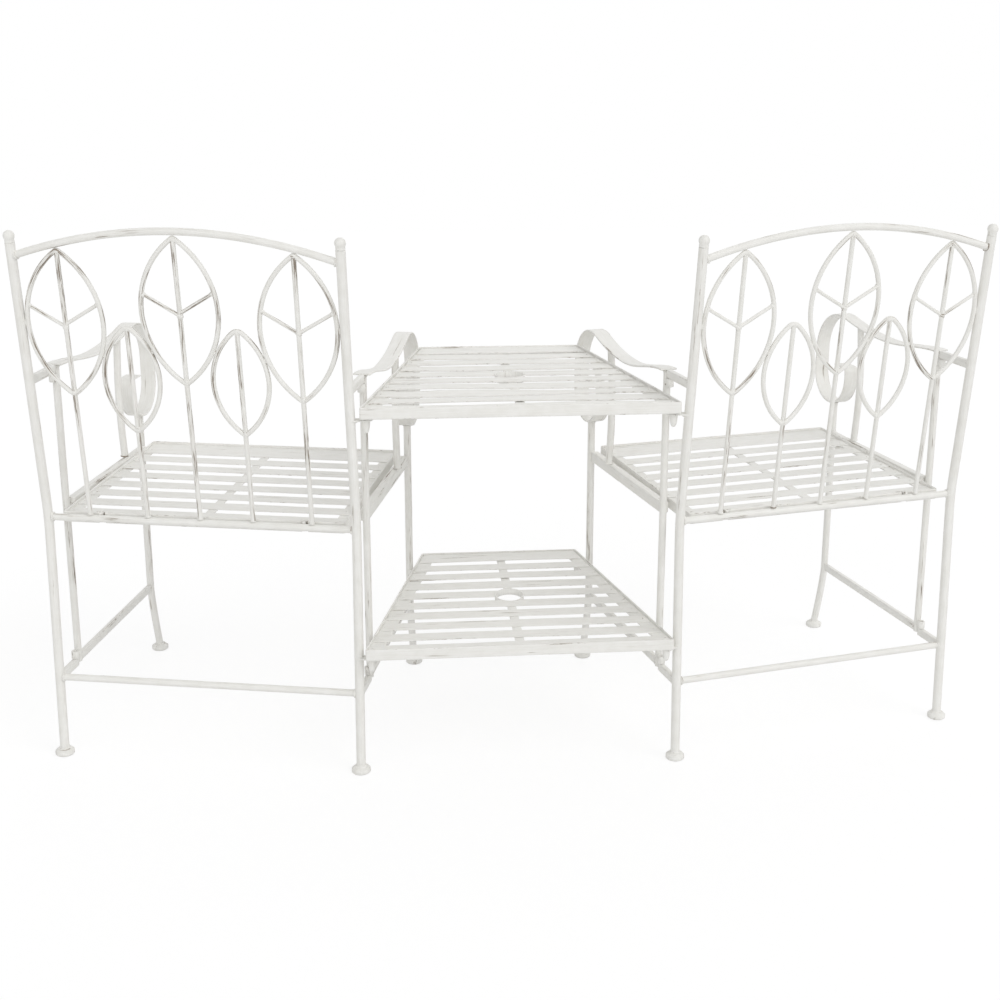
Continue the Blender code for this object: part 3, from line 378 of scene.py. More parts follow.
class Shape:
    """Points and faces of one piece, with each point's place along and across its bar."""

    bars_begun = 0

    def __init__(self, place):
        self.place = place
        self.points = []
        self.bar_places = []
        self.edges = []
        self.faces = []
        self.finish_numbers = []
        self.finish = PAINT
        self.wear_start = 0.0

    def begin(self, finish=PAINT):
        """Give the next bar its finish and a stretch of the wear pattern that no other bar has."""
        Shape.bars_begun += 1
        self.wear_start = Shape.bars_begun * WEAR_STEP
        self.finish = finish

    def ring(self, rows):
        """Add points, each as (place, place on the bar, edge), and give back their numbers."""
        first = len(self.points)
        for point, on_bar, edge in rows:
            self.points.append(self.place @ Vector(point))
            self.bar_places.append((on_bar[0] + self.wear_start, on_bar[1], on_bar[2]))
            self.edges.append(edge)
        return list(range(first, len(self.points)))

    def face(self, corners):
        """Add a face in the finish of the bar that is being drawn."""
        self.faces.append(corners)
        self.finish_numbers.append(self.finish)

    def skin(self, rings, closed=False):
        """Faces between neighbouring rings; an open skin gets flat ends."""
        following = rings[1:] + rings[:1] if closed else rings[1:]
        for lower, upper in zip(rings, following):
            for i in range(len(lower)):
                j = (i + 1) % len(lower)
                self.face((lower[i], lower[j], upper[j], upper[i]))
        if not closed:
            self.face(tuple(reversed(rings[0])))
            self.face(tuple(rings[-1]))

    def make(self, node, paint, body="frame", slot="frame_paint"):
        """The finished mesh, riding on its body in place of the CAD node."""
        finishes = (paint, WELD_PAINT, PIN_STEEL)
        mesh = bpy.data.meshes.new(node + "_painted")
        mesh.from_pydata(self.points, [], self.faces)
        on_bar = mesh.attributes.new("bar", "FLOAT_VECTOR", "POINT")
        on_bar.data.foreach_set("vector", [value for place in self.bar_places for value in place])
        edge = mesh.attributes.new("edge", "FLOAT", "POINT")
        edge.data.foreach_set("value", self.edges)
        used = sorted(set(self.finish_numbers))
        for number in used:
            mesh.materials.append(finishes[number])
        mesh.polygons.foreach_set("material_index", [used.index(number) for number in self.finish_numbers])
        mesh.shade_smooth()
        mesh.set_sharp_from_angle(angle=SHARP_ANGLE)
        piece = bpy.data.objects.new(node + "_painted", mesh)
        bpy.context.scene.collection.objects.link(piece)
        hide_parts(node)
        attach(piece, body)


print("bars can be gathered")

# %% [markdown]
# A rod has a round section and a strip a flat one with rounded corners. The flat section has an extra row
# of points just inside each corner. The paint is told that the corner is an edge and that this row isn't,
# and so the rubbing stays in a narrow band along the edge.

# %% Sections
WORN, HALF_WORN, HARDLY_WORN, NOT_WORN = 1.0, 0.6, 0.5, 0.0


def round_section(radius, sides=18):
    """A circle of (across, over, edge)."""
    angles = [2 * math.pi * i / sides for i in range(sides)]
    return [(radius * math.cos(angle), radius * math.sin(angle), NOT_WORN) for angle in angles]


def flat_section(width, height, corner, rub_band=0.0025):
    """A rectangle with rounded corners, anticlockwise, each corner with its band of wear."""
    section = []
    for quarter in range(4):
        upright_quarter = quarter % 2 == 1
        reach = height / 2 if upright_quarter else width / 2
        rise = width / 2 if upright_quarter else height / 2
        rows = []
        if rise > corner + rub_band:
            rows.append((reach, rise - corner - rub_band, NOT_WORN))
        for angle in (0.0, math.pi / 4, math.pi / 2):
            rows.append((reach - corner + corner * math.cos(angle),
                         rise - corner + corner * math.sin(angle), WORN))
        if reach > corner + rub_band:
            rows.append((reach - corner - rub_band, rise, NOT_WORN))
        turned = Matrix.Rotation(quarter * math.pi / 2, 2)
        for x, y, edge in rows:
            across, over = turned @ Vector((x, y))
            section.append((across, over, edge))
    return section


print("points of a rod's section:", len(round_section(0.006)))
print("points of a strip's section:", len(flat_section(0.03, 0.003, 0.001)))

# %% [markdown]
# A bar is its section drawn along a line. One direction of the section is kept as near as it can be to a
# given side, which is enough for bars that bend in one plane. Each open end gets a small chamfer, because a
# sawn end that has been painted is never sharp.

# %% Bars along a line
END_EASE = 0.0008
END_BAND = 3


def rounded_corner(start, corner, end, steps):
    """Points of a bend that leaves one line at its start and joins the next at its end."""
    points = []
    for i in range(steps + 1):
        share = i / steps
        points.append(start.lerp(corner, share).lerp(corner.lerp(end, share), share))
    return points


def draw_bar(shape, line, section, side, closed=False, ease=END_EASE):
    """Draw a section along a line of points."""
    shape.begin()
    line = [Vector(point) for point in line]
    last = len(line) - 1
    rings = []
    travelled = 0.0

    def ring_at(point, across, over, shrink, distance, worn):
        """Add the section at a point, drawn in by shrink and marked as worn."""
        rows = []
        for a, b, edge in section:
            a -= math.copysign(min(shrink, abs(a)), a)
            b -= math.copysign(min(shrink, abs(b)), b)
            rows.append((point + across * a + over * b, (distance, a, b), max(edge, worn)))
        rings.append(shape.ring(rows))

    for i, point in enumerate(line):
        before = line[i - 1] if i > 0 or closed else point
        after = line[(i + 1) % len(line)] if i < last or closed else point
        along = (after - before).normalized()
        across = (Vector(side) - along * along.dot(Vector(side))).normalized()
        over = along.cross(across)
        if i > 0:
            travelled += (point - line[i - 1]).length
        if closed or 0 < i < last:
            ring_at(point, across, over, 0.0, travelled, NOT_WORN)
        elif i == 0:
            ring_at(point, across, over, ease, 0.0, WORN)
            ring_at(point + along * ease, across, over, 0.0, ease, HALF_WORN)
            ring_at(point + along * ease * END_BAND, across, over, 0.0, ease * END_BAND, NOT_WORN)
        else:
            ring_at(point - along * ease * END_BAND, across, over, 0.0, travelled - ease * END_BAND, NOT_WORN)
            ring_at(point - along * ease, across, over, 0.0, travelled - ease, HALF_WORN)
            ring_at(point, across, over, ease, travelled, WORN)
    shape.skin(rings, closed)


print("bars are eased by", END_EASE * 1000, "mm at their ends")

# %% [markdown]
# Feet, ball finials, hinge barrels and pegs are turned pieces: an outline of radius and height is spun
# round an axis. A ring, such as a hinge barrel with a hole, is an outline that closes on itself.

# %% Turned pieces
NEEDLE = 0.0002


def turn_piece(shape, outline, place, sides, ring=False, finish=PAINT):
    """Spin an outline of (radius, height, edge), from bottom to top, round the z axis of a place."""
    shape.begin(finish)
    rings = []
    for radius, height, edge in outline:
        radius = max(radius, NEEDLE)
        rows = []
        for i in range(sides):
            angle = 2 * math.pi * i / sides
            x = radius * math.cos(angle)
            y = radius * math.sin(angle)
            rows.append((place @ Vector((x, y, height)), (height, x, y), edge))
        rings.append(shape.ring(rows))
    shape.skin(rings, closed=ring)


def ring_outline(inside, outside, low, high, ease=0.0007):
    """Outline of a ring with eased edges: up its outside and down its inside."""
    return [(outside - ease, low, WORN), (outside, low + ease, WORN), (outside, high - ease, WORN),
            (outside - ease, high, WORN), (inside + ease, high, WORN), (inside, high - ease, HALF_WORN),
            (inside, low + ease, HALF_WORN), (inside + ease, low, WORN)]


def standing_at(point):
    """A place with its z axis upright."""
    return Matrix.Translation(point)


print("a turned point is closed to", NEEDLE * 1000, "mm")

# %% [markdown]
# Slats, flanges and braces are cut from sheet. Each is an outline between two heights, with a small bevel
# on its edges and a ring of points a little inside them for the rubbed band.

# %% Plates
PLATE_EASE = 0.0006


def drawn_in(outline, distance):
    """The outline moved inward by a distance at right angles to its edges; it runs anticlockwise."""
    moved = []
    for i, corner in enumerate(outline):
        corner = Vector(corner)
        back = (corner - Vector(outline[i - 1])).normalized()
        ahead = (Vector(outline[(i + 1) % len(outline)]) - corner).normalized()
        inward = Vector((-back.y - ahead.y, back.x + ahead.x))
        moved.append(corner + inward * (distance / (1 + back.dot(ahead))))
    return moved


def edge_rows(low, high, ease, rub_band):
    """Rows of points round a plate's edge as (inset, height, edge), from its underside to its top."""
    return [(rub_band, low, NOT_WORN), (ease, low, WORN), (0.0, low + ease, WORN), (0.0, high - ease, WORN),
            (ease, high, WORN), (rub_band, high, NOT_WORN)]


def cut_plate(shape, outline, low, high, place=Matrix.Identity(4), ease=PLATE_EASE, rub_band=0.0028):
    """A plate between two heights."""
    shape.begin()
    rings = []
    for inset, height, edge in edge_rows(low, high, ease, rub_band):
        rows = []
        for x, y in drawn_in(outline, inset):
            rows.append((place @ Vector((x, y, height)), (x, y, height), edge))
        rings.append(shape.ring(rows))
    shape.skin(rings)


def oblong(left, right, front, rear):
    """A rectangle's corners, anticlockwise."""
    return [(left, front), (right, front), (right, rear), (left, rear)]


print("plates ready")

# %% [markdown]
# The set is welded by hand, and the welds show as small painted lumps. A weld round a bar's end is a lumpy
# ring, and a weld in a corner is a lump. Noise that depends only on the place gives each one its own form,
# the same on every run.

# %% Welds
LUMP_WAVES, LUMP_SWELL = 1.6, 0.28
BEAD_WAVES, BEAD_SWELL = 3.0, 0.35
WELD_SPREAD = 397.0
LUMP_POLE = 0.05


def lump_noise(direction, centre, waves):
    """How far a weld swells in a direction; its place in the set makes it unlike the others."""
    return noise.noise(Vector(direction) * waves + Vector(centre) * WELD_SPREAD)


def weld_lump(shape, centre, size, rows=6, sides=12):
    """A lump with half sizes in x, y and z."""
    shape.begin(WELD)
    centre = Vector(centre)
    rings = []
    for i in range(rows + 1):
        tilt = math.pi * (i / rows - 0.5)
        points = []
        for j in range(sides):
            angle = 2 * math.pi * j / sides
            flat = max(math.cos(tilt), LUMP_POLE)
            direction = Vector((flat * math.cos(angle), flat * math.sin(angle), math.sin(tilt)))
            swell = 1.0 + LUMP_SWELL * lump_noise(direction, centre, LUMP_WAVES)
            offset = Vector([direction[k] * size[k] * swell for k in range(3)])
            points.append((centre + offset, offset, NOT_WORN))
        rings.append(shape.ring(points))
    shape.skin(rings)


def weld_ring(shape, centre, axis, radius, thickness, steps=22, sides=8):
    """A lumpy ring round a bar."""
    shape.begin(WELD)
    centre = Vector(centre)
    place = Matrix.Translation(centre) @ Vector(axis).to_track_quat("Z", "Y").to_matrix().to_4x4()
    rings = []
    for i in range(steps):
        angle = 2 * math.pi * i / steps
        outward = Vector((math.cos(angle), math.sin(angle), 0.0))
        swell = thickness * (1.0 + BEAD_SWELL * lump_noise(outward, centre, BEAD_WAVES))
        points = []
        for j in range(sides):
            lean = 2 * math.pi * j / sides
            offset = outward * (radius + swell * math.cos(lean)) + Vector((0.0, 0.0, swell * math.sin(lean)))
            points.append((place @ offset, (radius * angle, swell * math.cos(lean), offset.z), NOT_WORN))
        rings.append(shape.ring(points))
    shape.skin(list(reversed(rings)), closed=True)


print("welds ready")

# %% [markdown]
# ## Where the chairs stand
# Each chair is drawn upright in its own frame, with x across, forward towards -y and the origin on the
# floor midway between its rear feet. A matrix then stands it off the middle of the set and turns it inward.
# The sizes are those of the CAD frame, so every new piece lies where the frame has it.

# %% Sizes and places of a chair
CHAIR_OFFSET = 0.538
CHAIR_TURN = math.radians(12.6)
HALF_SPACING = 0.268
POST_RADIUS = 0.008
POST_FORWARD = 0.0125
POST_LENGTH = 0.479
BACK_LEAN = math.radians(6.8)
SEAT_RAIL_HEIGHT = 0.438
FINIAL_RADIUS = 0.0095
FINIAL_NECK = 0.001
FRONT_LEG_FORWARD = 0.443
ARM_WIDTH = 0.030
ARM_THICKNESS = 0.003
SCROLL_RADIUS = 0.0595
ACROSS = Vector((1.0, 0.0, 0.0))
UP = Vector((0.0, 0.0, 1.0))
BACK_NORMAL = Vector((0.0, -math.cos(BACK_LEAN), math.sin(BACK_LEAN)))

front_reach = ((HALF_SPACING + ARM_WIDTH / 2) * math.sin(CHAIR_TURN)
               + (FRONT_LEG_FORWARD + SCROLL_RADIUS + ARM_THICKNESS / 2) * math.cos(CHAIR_TURN))
finial_lean = (POST_LENGTH + FINIAL_NECK + FINIAL_RADIUS) * math.sin(BACK_LEAN) - POST_FORWARD
rear_reach = HALF_SPACING * math.sin(CHAIR_TURN) + finial_lean * math.cos(CHAIR_TURN) + FINIAL_RADIUS
CHAIR_Y = (front_reach - rear_reach) / 2


def chair_place(hand):
    """Where a chair stands: hand is 1 for the left chair, at +X, and -1 for the right one."""
    stand = Matrix.Translation((hand * CHAIR_OFFSET, CHAIR_Y, 0.0))
    return stand @ Matrix.Rotation(-hand * CHAIR_TURN, 4, "Z")


def spot(x, forward, height):
    """A point of a chair from its place across, ahead of the rear feet and above the floor."""
    return Vector((x, -forward, height))


def back_spot(x, up):
    """A point of the leaning back, measured up along it from the rear seat rail."""
    return spot(x, POST_FORWARD - up * math.sin(BACK_LEAN), SEAT_RAIL_HEIGHT + up * math.cos(BACK_LEAN))


CHAIRS = (("left", 1), ("right", -1))
SIDES = (("outer", 1), ("inner", -1))


def every_side():
    """Each side of each chair: the two names, the side's x in the chair's frame and the chair's place."""
    for name, hand in CHAIRS:
        for side_name, side in SIDES:
            yield name, side_name, side * hand * HALF_SPACING, chair_place(hand)


print("chairs at y =", round(CHAIR_Y, 4), "turned", round(math.degrees(CHAIR_TURN), 1), "degrees")

# %% [markdown]
# ## Back posts
# A back post is a steel tube with a slight bend where the seat begins. A thick disc is welded under it as a
# foot. Two short flat bars reach forward from it and carry the pins that the side frame hangs on, and the
# posts beside the table have flat eyes that the table and the shelf are hooked into.

# %% The post's line and foot
POST_BEND_REACH = 0.03
FOOT_RADIUS = 0.0165
FOOT_EDGE = 0.008
FOOT_HEIGHT = 0.013
FOOT_LOW_ROUND = 0.0014
FOOT_TOP_ROUND = 0.0012
FOOT_WELD_SLOPE = 0.0030
FOOT_WELD_LIP = 0.0006
FOOT_TUCK = 0.001
FOOT_BEAD = 0.0024
FOOT_BEAD_OUT = 0.0014


def post_forward(height):
    """How far ahead of the rear feet the post's middle lies."""
    if height < SEAT_RAIL_HEIGHT:
        return POST_FORWARD * height / SEAT_RAIL_HEIGHT
    return POST_FORWARD - (height - SEAT_RAIL_HEIGHT) * math.tan(BACK_LEAN)


def post_line(x, steps=10):
    """The post's middle line, rounded at the bend."""
    bend_height = SEAT_RAIL_HEIGHT - POST_BEND_REACH
    lower = spot(x, post_forward(bend_height), bend_height)
    corner = spot(x, POST_FORWARD, SEAT_RAIL_HEIGHT)
    upper = back_spot(x, POST_BEND_REACH)
    bend = rounded_corner(lower, corner, upper, steps)
    return [spot(x, 0.0, FOOT_EDGE), *bend, back_spot(x, POST_LENGTH)]


def add_foot(shape, point, leg_radius):
    """The disc under a leg, with a rounded edge, a slope of weld up to the leg and a lumpy bead round it."""
    outline = [(0.0, 0.0, NOT_WORN),
               (FOOT_RADIUS - FOOT_LOW_ROUND, 0.0, HARDLY_WORN),
               (FOOT_RADIUS, FOOT_LOW_ROUND, WORN),
               (FOOT_RADIUS, FOOT_EDGE - FOOT_TOP_ROUND, HALF_WORN),
               (FOOT_RADIUS - FOOT_TOP_ROUND, FOOT_EDGE, WORN),
               (FOOT_RADIUS - 3 * FOOT_TOP_ROUND, FOOT_EDGE + FOOT_TOP_ROUND, NOT_WORN),
               (leg_radius + FOOT_WELD_SLOPE, FOOT_EDGE + FOOT_WELD_SLOPE, NOT_WORN),
               (leg_radius + FOOT_WELD_LIP, FOOT_HEIGHT, NOT_WORN),
               (leg_radius - FOOT_TUCK, FOOT_HEIGHT + FOOT_TUCK, NOT_WORN)]
    turn_piece(shape, outline, standing_at(point), sides=28)
    weld_ring(shape, point + UP * (FOOT_EDGE + FOOT_BEAD), UP, leg_radius + FOOT_BEAD_OUT, FOOT_BEAD)


print("post top at", rounded(post_line(HALF_SPACING)[-1]))

# %% Hinge bars and pins
UPRIGHT_FORWARD = 0.0845
BARREL_BEHIND = 0.0125
BARREL_FORWARD = UPRIGHT_FORWARD - BARREL_BEHIND
BRACKET_TOP = 0.6893
BRACKET_HEIGHT = 0.0145
BRACKET_THICKNESS = 0.0095
BRACKET_CORNER = 0.0016
BRACKET_EASE = 0.0014
BRACKET_SIDE_WELD = (0.0018, 0.0028, 0.0066)
SIDE_WELD_ACROSS = 0.0046
SIDE_WELD_AHEAD = POST_RADIUS * 0.84
BRACKET_LOW_WELD = (0.0048, 0.0032, 0.0024)
LOW_WELD_AHEAD = POST_RADIUS * 1.02
LOWER_BRACKET_TOP = 0.151
PIN_RADIUS = 0.0035
PIN_LENGTH = 0.012
PIN_EASE = 0.001


def hinge_bar(shape, x, top):
    """A flat bar on edge from the post to the pin, with the weld where it leaves the post."""
    middle = top - BRACKET_HEIGHT / 2
    root = post_forward(middle)
    section = flat_section(BRACKET_THICKNESS, BRACKET_HEIGHT, BRACKET_CORNER)
    line = [spot(x, root, middle), spot(x, BARREL_FORWARD + BRACKET_THICKNESS / 2, middle)]
    draw_bar(shape, line, section, ACROSS, ease=BRACKET_EASE)
    for side in (-1, 1):
        seam = spot(x + side * SIDE_WELD_ACROSS, root + SIDE_WELD_AHEAD, middle)
        weld_lump(shape, seam, BRACKET_SIDE_WELD)
    weld_lump(shape, spot(x, root + LOW_WELD_AHEAD, middle - BRACKET_HEIGHT / 2), BRACKET_LOW_WELD)


def add_pin(shape, radius, low, high, place, ease, sides):
    """A steel pin between two heights of a place, with eased ends."""
    outline = [(radius - ease, low, WORN), (radius, low + ease, WORN), (radius, high - ease, WORN),
               (radius - ease, high, WORN)]
    turn_piece(shape, outline, place, sides, finish=STEEL)


print("upper hinge bar at", BRACKET_TOP, "m")

# %% Eyes for the trays' pegs
TABLE_HEIGHT = 0.6555
SHELF_HEIGHT = 0.2355
TRAY_RIM_HEIGHT = 0.0198
TRAY_EXTRA_TAPER = math.radians(0.35)
PEG_ACROSS = 0.2912
PEG_RADIUS = 0.00675
WASHER_RADIUS = 0.0095
WASHER_THICKNESS = 0.002
CLEARANCE = 0.0003
EYE_DROP = TRAY_RIM_HEIGHT + WASHER_THICKNESS + CLEARANCE
EYE_THICKNESS = 0.003
EYE_RADIUS = 0.011
EYE_WIDTH = 0.016
EYE_TONGUE = EYE_THICKNESS - 0.0002
EYE_LAP = 0.0012
EYE_EASE = 0.0005
EYE_CORNER = 0.0007
EYE_WELD = (0.004, 0.004, 0.0022)
EYE_WELD_AHEAD = POST_RADIUS * 0.95
EYE_WELD_DROP = 0.0026


def peg_spot(x, forward):
    """Where a tray's peg stands beside the rod at x; the trays taper a little more than the chairs turn."""
    return spot(math.copysign(PEG_ACROSS + forward * math.tan(TRAY_EXTRA_TAPER), x), forward, 0.0)


def eye_plate(shape, support, peg, top):
    """A flat tongue from a rod to a ring that takes a tray's peg."""
    low = top - EYE_THICKNESS
    along = Vector((peg.x - support.x, peg.y - support.y, 0.0))
    inside = PEG_RADIUS + 2 * CLEARANCE
    start = Vector((support.x, support.y, (top + low) / 2))
    reach = start + along * (1 - (inside + EYE_LAP) / along.length)
    draw_bar(shape, [start, reach], flat_section(EYE_WIDTH, EYE_TONGUE, EYE_CORNER), along.cross(UP))
    ring = ring_outline(inside, EYE_RADIUS, low, top, EYE_EASE)
    turn_piece(shape, ring, standing_at((peg.x, peg.y, 0.0)), sides=28, ring=True)
    weld_lump(shape, start + along.normalized() * EYE_WELD_AHEAD - UP * EYE_WELD_DROP, EYE_WELD)


print("eyes", round(EYE_DROP, 4), "m under the trays' rims")

# %% All back posts
for name, side_name, x, place in every_side():
    post = Shape(place)
    draw_bar(post, post_line(x), round_section(POST_RADIUS, sides=22), ACROSS)
    add_foot(post, spot(x, 0.0, 0.0), POST_RADIUS)
    hinge_bar(post, x, BRACKET_TOP)
    hinge_bar(post, x, LOWER_BRACKET_TOP)
    pin_place = standing_at(spot(x, BARREL_FORWARD, 0.0))
    upper_low = BRACKET_TOP - BRACKET_HEIGHT
    for low, high in ((upper_low - PIN_LENGTH, upper_low + BRACKET_HEIGHT / 2),
                      (LOWER_BRACKET_TOP - BRACKET_HEIGHT / 2, LOWER_BRACKET_TOP + PIN_LENGTH)):
        add_pin(post, PIN_RADIUS, low, high, pin_place, PIN_EASE, sides=18)
    if side_name == "inner":
        for eye_top in (TABLE_HEIGHT - EYE_DROP, SHELF_HEIGHT - EYE_DROP):
            eye_plate(post, spot(x, post_forward(eye_top), 0.0), peg_spot(x, 0.0), eye_top)
    post.make(f"{name}_{side_name}_back_post", POST_PAINT)

# %% [markdown]
# ## Finials
# A plain ball closes each post. It is turned in one piece with a short neck that sits on the tube, and a
# thin groove shows where the two meet. The frame's balls and rails have flat facets, so the round ones here
# are drawn a hair smaller, to stay inside the frame's box.

# %% Finials
FACET_ROOM = 0.0004
NECK_FOOT = POST_RADIUS - 0.0003
NECK_TOP = POST_RADIUS - 0.0002
NECK_GROOVE = POST_RADIUS - 0.0004
NECK_HEIGHT = 0.0022


def finial_outline(steps=14):
    """From the neck on the post up round the ball."""
    middle = FINIAL_NECK + FINIAL_RADIUS
    ball = FINIAL_RADIUS - FACET_ROOM
    neck_angle = math.asin(NECK_GROOVE / ball)
    outline = [(NECK_FOOT, CLEARANCE, NOT_WORN), (NECK_TOP, NECK_HEIGHT, NOT_WORN)]
    for i in range(steps + 1):
        angle = (math.pi - neck_angle) * (1 - i / steps)
        outline.append((ball * math.sin(angle), middle + ball * math.cos(angle), NOT_WORN))
    return outline


for name, side_name, x, place in every_side():
    ball = Shape(place)
    post_end = Matrix.Translation(back_spot(x, POST_LENGTH)) @ Matrix.Rotation(-BACK_LEAN, 4, "X")
    turn_piece(ball, finial_outline(), post_end, sides=28)
    ball.make(f"{name}_{side_name}_finial", POST_PAINT)

# %% [markdown]
# ## Rails
# Three round rails join the two posts: the arched top rail, the rail behind the seat and a low stretcher.
# Their ends run into the posts, and a small weld goes round each end. The seat turns on two lugs with a pin
# each, which stand on the rail behind the seat.

# %% Rails between the posts
RAIL_RADIUS = 0.0065
RAIL_BEAD = 0.0015
RAIL_BEAD_RADIUS = RAIL_RADIUS + 0.0002
RAIL_BEAD_IN = POST_RADIUS + 0.0004
TOP_RAIL_END = 0.4565
TOP_RAIL_RISE = 0.0458
REAR_STRETCHER_HEIGHT = 0.1455


def top_rail_up(x):
    """How far up the back the arched top rail's middle line lies."""
    return TOP_RAIL_END + TOP_RAIL_RISE * (1 - (x / HALF_SPACING) ** 2)


def draw_rail(shape, line, side):
    """A rail along its line, with a weld round each end where it meets a post."""
    draw_bar(shape, line, round_section(RAIL_RADIUS - FACET_ROOM), side)
    for end, next_point in ((line[0], line[1]), (line[-1], line[-2])):
        inward = (next_point - end).normalized()
        weld_ring(shape, end + inward * RAIL_BEAD_IN, inward, RAIL_BEAD_RADIUS, RAIL_BEAD)


def straight_rail(height):
    """The line of a level rail between the posts."""
    return [spot(side * HALF_SPACING, post_forward(height), height) for side in (-1, 1)]


def arched_rail(steps=40):
    """The line of the top rail."""
    places = [HALF_SPACING * (2 * i / steps - 1) for i in range(steps + 1)]
    return [back_spot(x, top_rail_up(x)) for x in places]


for name, hand in CHAIRS:
    for rail_name, line, side in (("top_rail", arched_rail(), BACK_NORMAL),
                                  ("rear_stretcher", straight_rail(REAR_STRETCHER_HEIGHT), UP)):
        rail = Shape(chair_place(hand))
        draw_rail(rail, line, side)
        rail.make(f"{name}_{rail_name}", ROD_PAINTS[name])
print("top of the arch:", rounded(back_spot(0.0, top_rail_up(0.0))))

# %% Seat rail with its hinge lugs
SEAT_HINGE_FORWARD = 0.027
SEAT_HINGE_HEIGHT = 0.4415
SEAT_HINGE_SPREAD = 0.177
SEAT_LUG_THICKNESS = 0.004
SEAT_LUG_HEIGHT = 0.009
SEAT_LUG_CORNER = 0.001
SEAT_LUG_EASE = 0.0016
SEAT_LUG_WELD = (0.0034, 0.0036, 0.0024)
SEAT_LUG_WELD_OFFSET = Vector((0.0, -0.0045, 0.0042))
SEAT_PIN_RADIUS = 0.0025
SEAT_PIN_REACH = 0.012
SEAT_PIN_EASE = 0.0006


def lying_across(point):
    """A place with its z axis along the chair's width."""
    return Matrix.Translation(point) @ Matrix.Rotation(math.pi / 2, 4, "Y")


for name, hand in CHAIRS:
    rail = Shape(chair_place(hand))
    draw_rail(rail, straight_rail(SEAT_RAIL_HEIGHT), UP)
    for side in (-1, 1):
        x = side * SEAT_HINGE_SPREAD
        root = spot(x, POST_FORWARD, SEAT_HINGE_HEIGHT)
        line = [root, spot(x, SEAT_HINGE_FORWARD + SEAT_LUG_HEIGHT / 2, SEAT_HINGE_HEIGHT)]
        lug = flat_section(SEAT_LUG_THICKNESS, SEAT_LUG_HEIGHT, SEAT_LUG_CORNER)
        draw_bar(rail, line, lug, ACROSS, ease=SEAT_LUG_EASE)
        weld_lump(rail, root + SEAT_LUG_WELD_OFFSET, SEAT_LUG_WELD)
        hinge_axis = lying_across(spot(x, SEAT_HINGE_FORWARD, SEAT_HINGE_HEIGHT))
        add_pin(rail, SEAT_PIN_RADIUS, -SEAT_PIN_REACH, SEAT_PIN_REACH, hinge_axis, SEAT_PIN_EASE, sides=16)
    rail.make(f"{name}_seat_rear_rail", ROD_PAINTS[name])
print("seat hinges at", SEAT_HINGE_HEIGHT, "m")

# %% [markdown]
# ## Leaves of the back
# Five leaves fill the back: three large ones that hang from the top rail and two small ones between them.
# Each is a thin rod bent into two arcs that meet in a point, round a straight midrib that stands on the
# seat rail. The large leaves also have a pair of short veins. The rods are the most rubbed pieces of the
# set, and their welds stand out as small dark-edged lumps. A leaf is found from its arcs, so that
# neighbours touch without crossing.

# %% The form of a leaf
LEAF_ROD = 0.004
LEAF_LENGTH = 0.244
LEAF_HALF_WIDTH = 0.0632
LEAF_TIP_RADIUS = 0.004
SMALL_LEAF_LENGTH = 0.182
SMALL_LEAF_BOTTOM = 0.1626
SMALL_LEAF_TIP_RADIUS = 0.012


def arc_points(centre, radius, start, end, steps):
    """Points of an arc between two angles."""
    points = []
    for i in range(steps + 1):
        angle = start + (end - start) * i / steps
        points.append(centre + radius * Vector((math.cos(angle), math.sin(angle))))
    return points


class LeafForm:
    """A leaf of two equal arcs with a rounded tip: x across, and up along the back."""

    def __init__(self, x, bottom, length, half_width, tip_radius):
        self.x = x
        self.bottom = bottom
        self.half_length = length / 2
        self.half_width = half_width
        self.tip_radius = tip_radius
        self.middle = bottom + self.half_length
        self.radius = (self.half_length ** 2 + half_width ** 2) / (2 * half_width)
        self.inward = self.radius - half_width

    def arc_centre(self, side):
        """Middle of the arc that bounds the leaf on one side."""
        return Vector((self.x - side * self.inward, self.middle))

    def tip(self):
        """Place up the back where the rounded tip ends."""
        tip_reach = math.sqrt((self.radius - self.tip_radius) ** 2 - self.inward ** 2)
        return self.middle + tip_reach + self.tip_radius

    def half_width_at(self, up):
        """Half of the leaf's width at a place up the back."""
        return math.sqrt(self.radius ** 2 - (up - self.middle) ** 2) - self.inward

    def outline(self, steps=26, tip_steps=8):
        """Up the right side from the bottom, round the tip and down the left side."""
        tip_middle = self.tip() - self.tip_radius
        high = math.atan2(tip_middle - self.middle, self.inward)
        low = -math.asin(self.half_length / self.radius)
        right = arc_points(self.arc_centre(1), self.radius, low, high, steps)
        tip = arc_points(Vector((self.x, tip_middle)), self.tip_radius, high, math.pi - high, tip_steps)
        left = arc_points(self.arc_centre(-1), self.radius, math.pi - high, math.pi - low, steps)
        return right + tip[1:-1] + left

    def mirrored(self):
        """The same leaf on the other side of the chair's middle."""
        return LeafForm(-self.x, self.bottom, 2 * self.half_length, self.half_width, self.tip_radius)


def space_between(first, second):
    """Least space between the right arc of one leaf and the left arc of the next, over their rods."""
    apart = (second.arc_centre(-1) - first.arc_centre(1)).length
    return apart - first.radius - second.radius - 2 * LEAF_ROD


print("leaf form ready")

# %% Fitting the leaves to each other
def large_leaf(x):
    """A large leaf hung under the top rail."""
    tip = top_rail_up(x) - RAIL_RADIUS - LEAF_ROD - CLEARANCE
    draft = LeafForm(x, tip - LEAF_LENGTH, LEAF_LENGTH, LEAF_HALF_WIDTH, LEAF_TIP_RADIUS)
    return LeafForm(x, draft.bottom + tip - draft.tip(), LEAF_LENGTH, LEAF_HALF_WIDTH, LEAF_TIP_RADIUS)


def small_form_at(x, half_width):
    """A small leaf at a place across the back."""
    return LeafForm(x, SMALL_LEAF_BOTTOM, SMALL_LEAF_LENGTH, half_width, SMALL_LEAF_TIP_RADIUS)


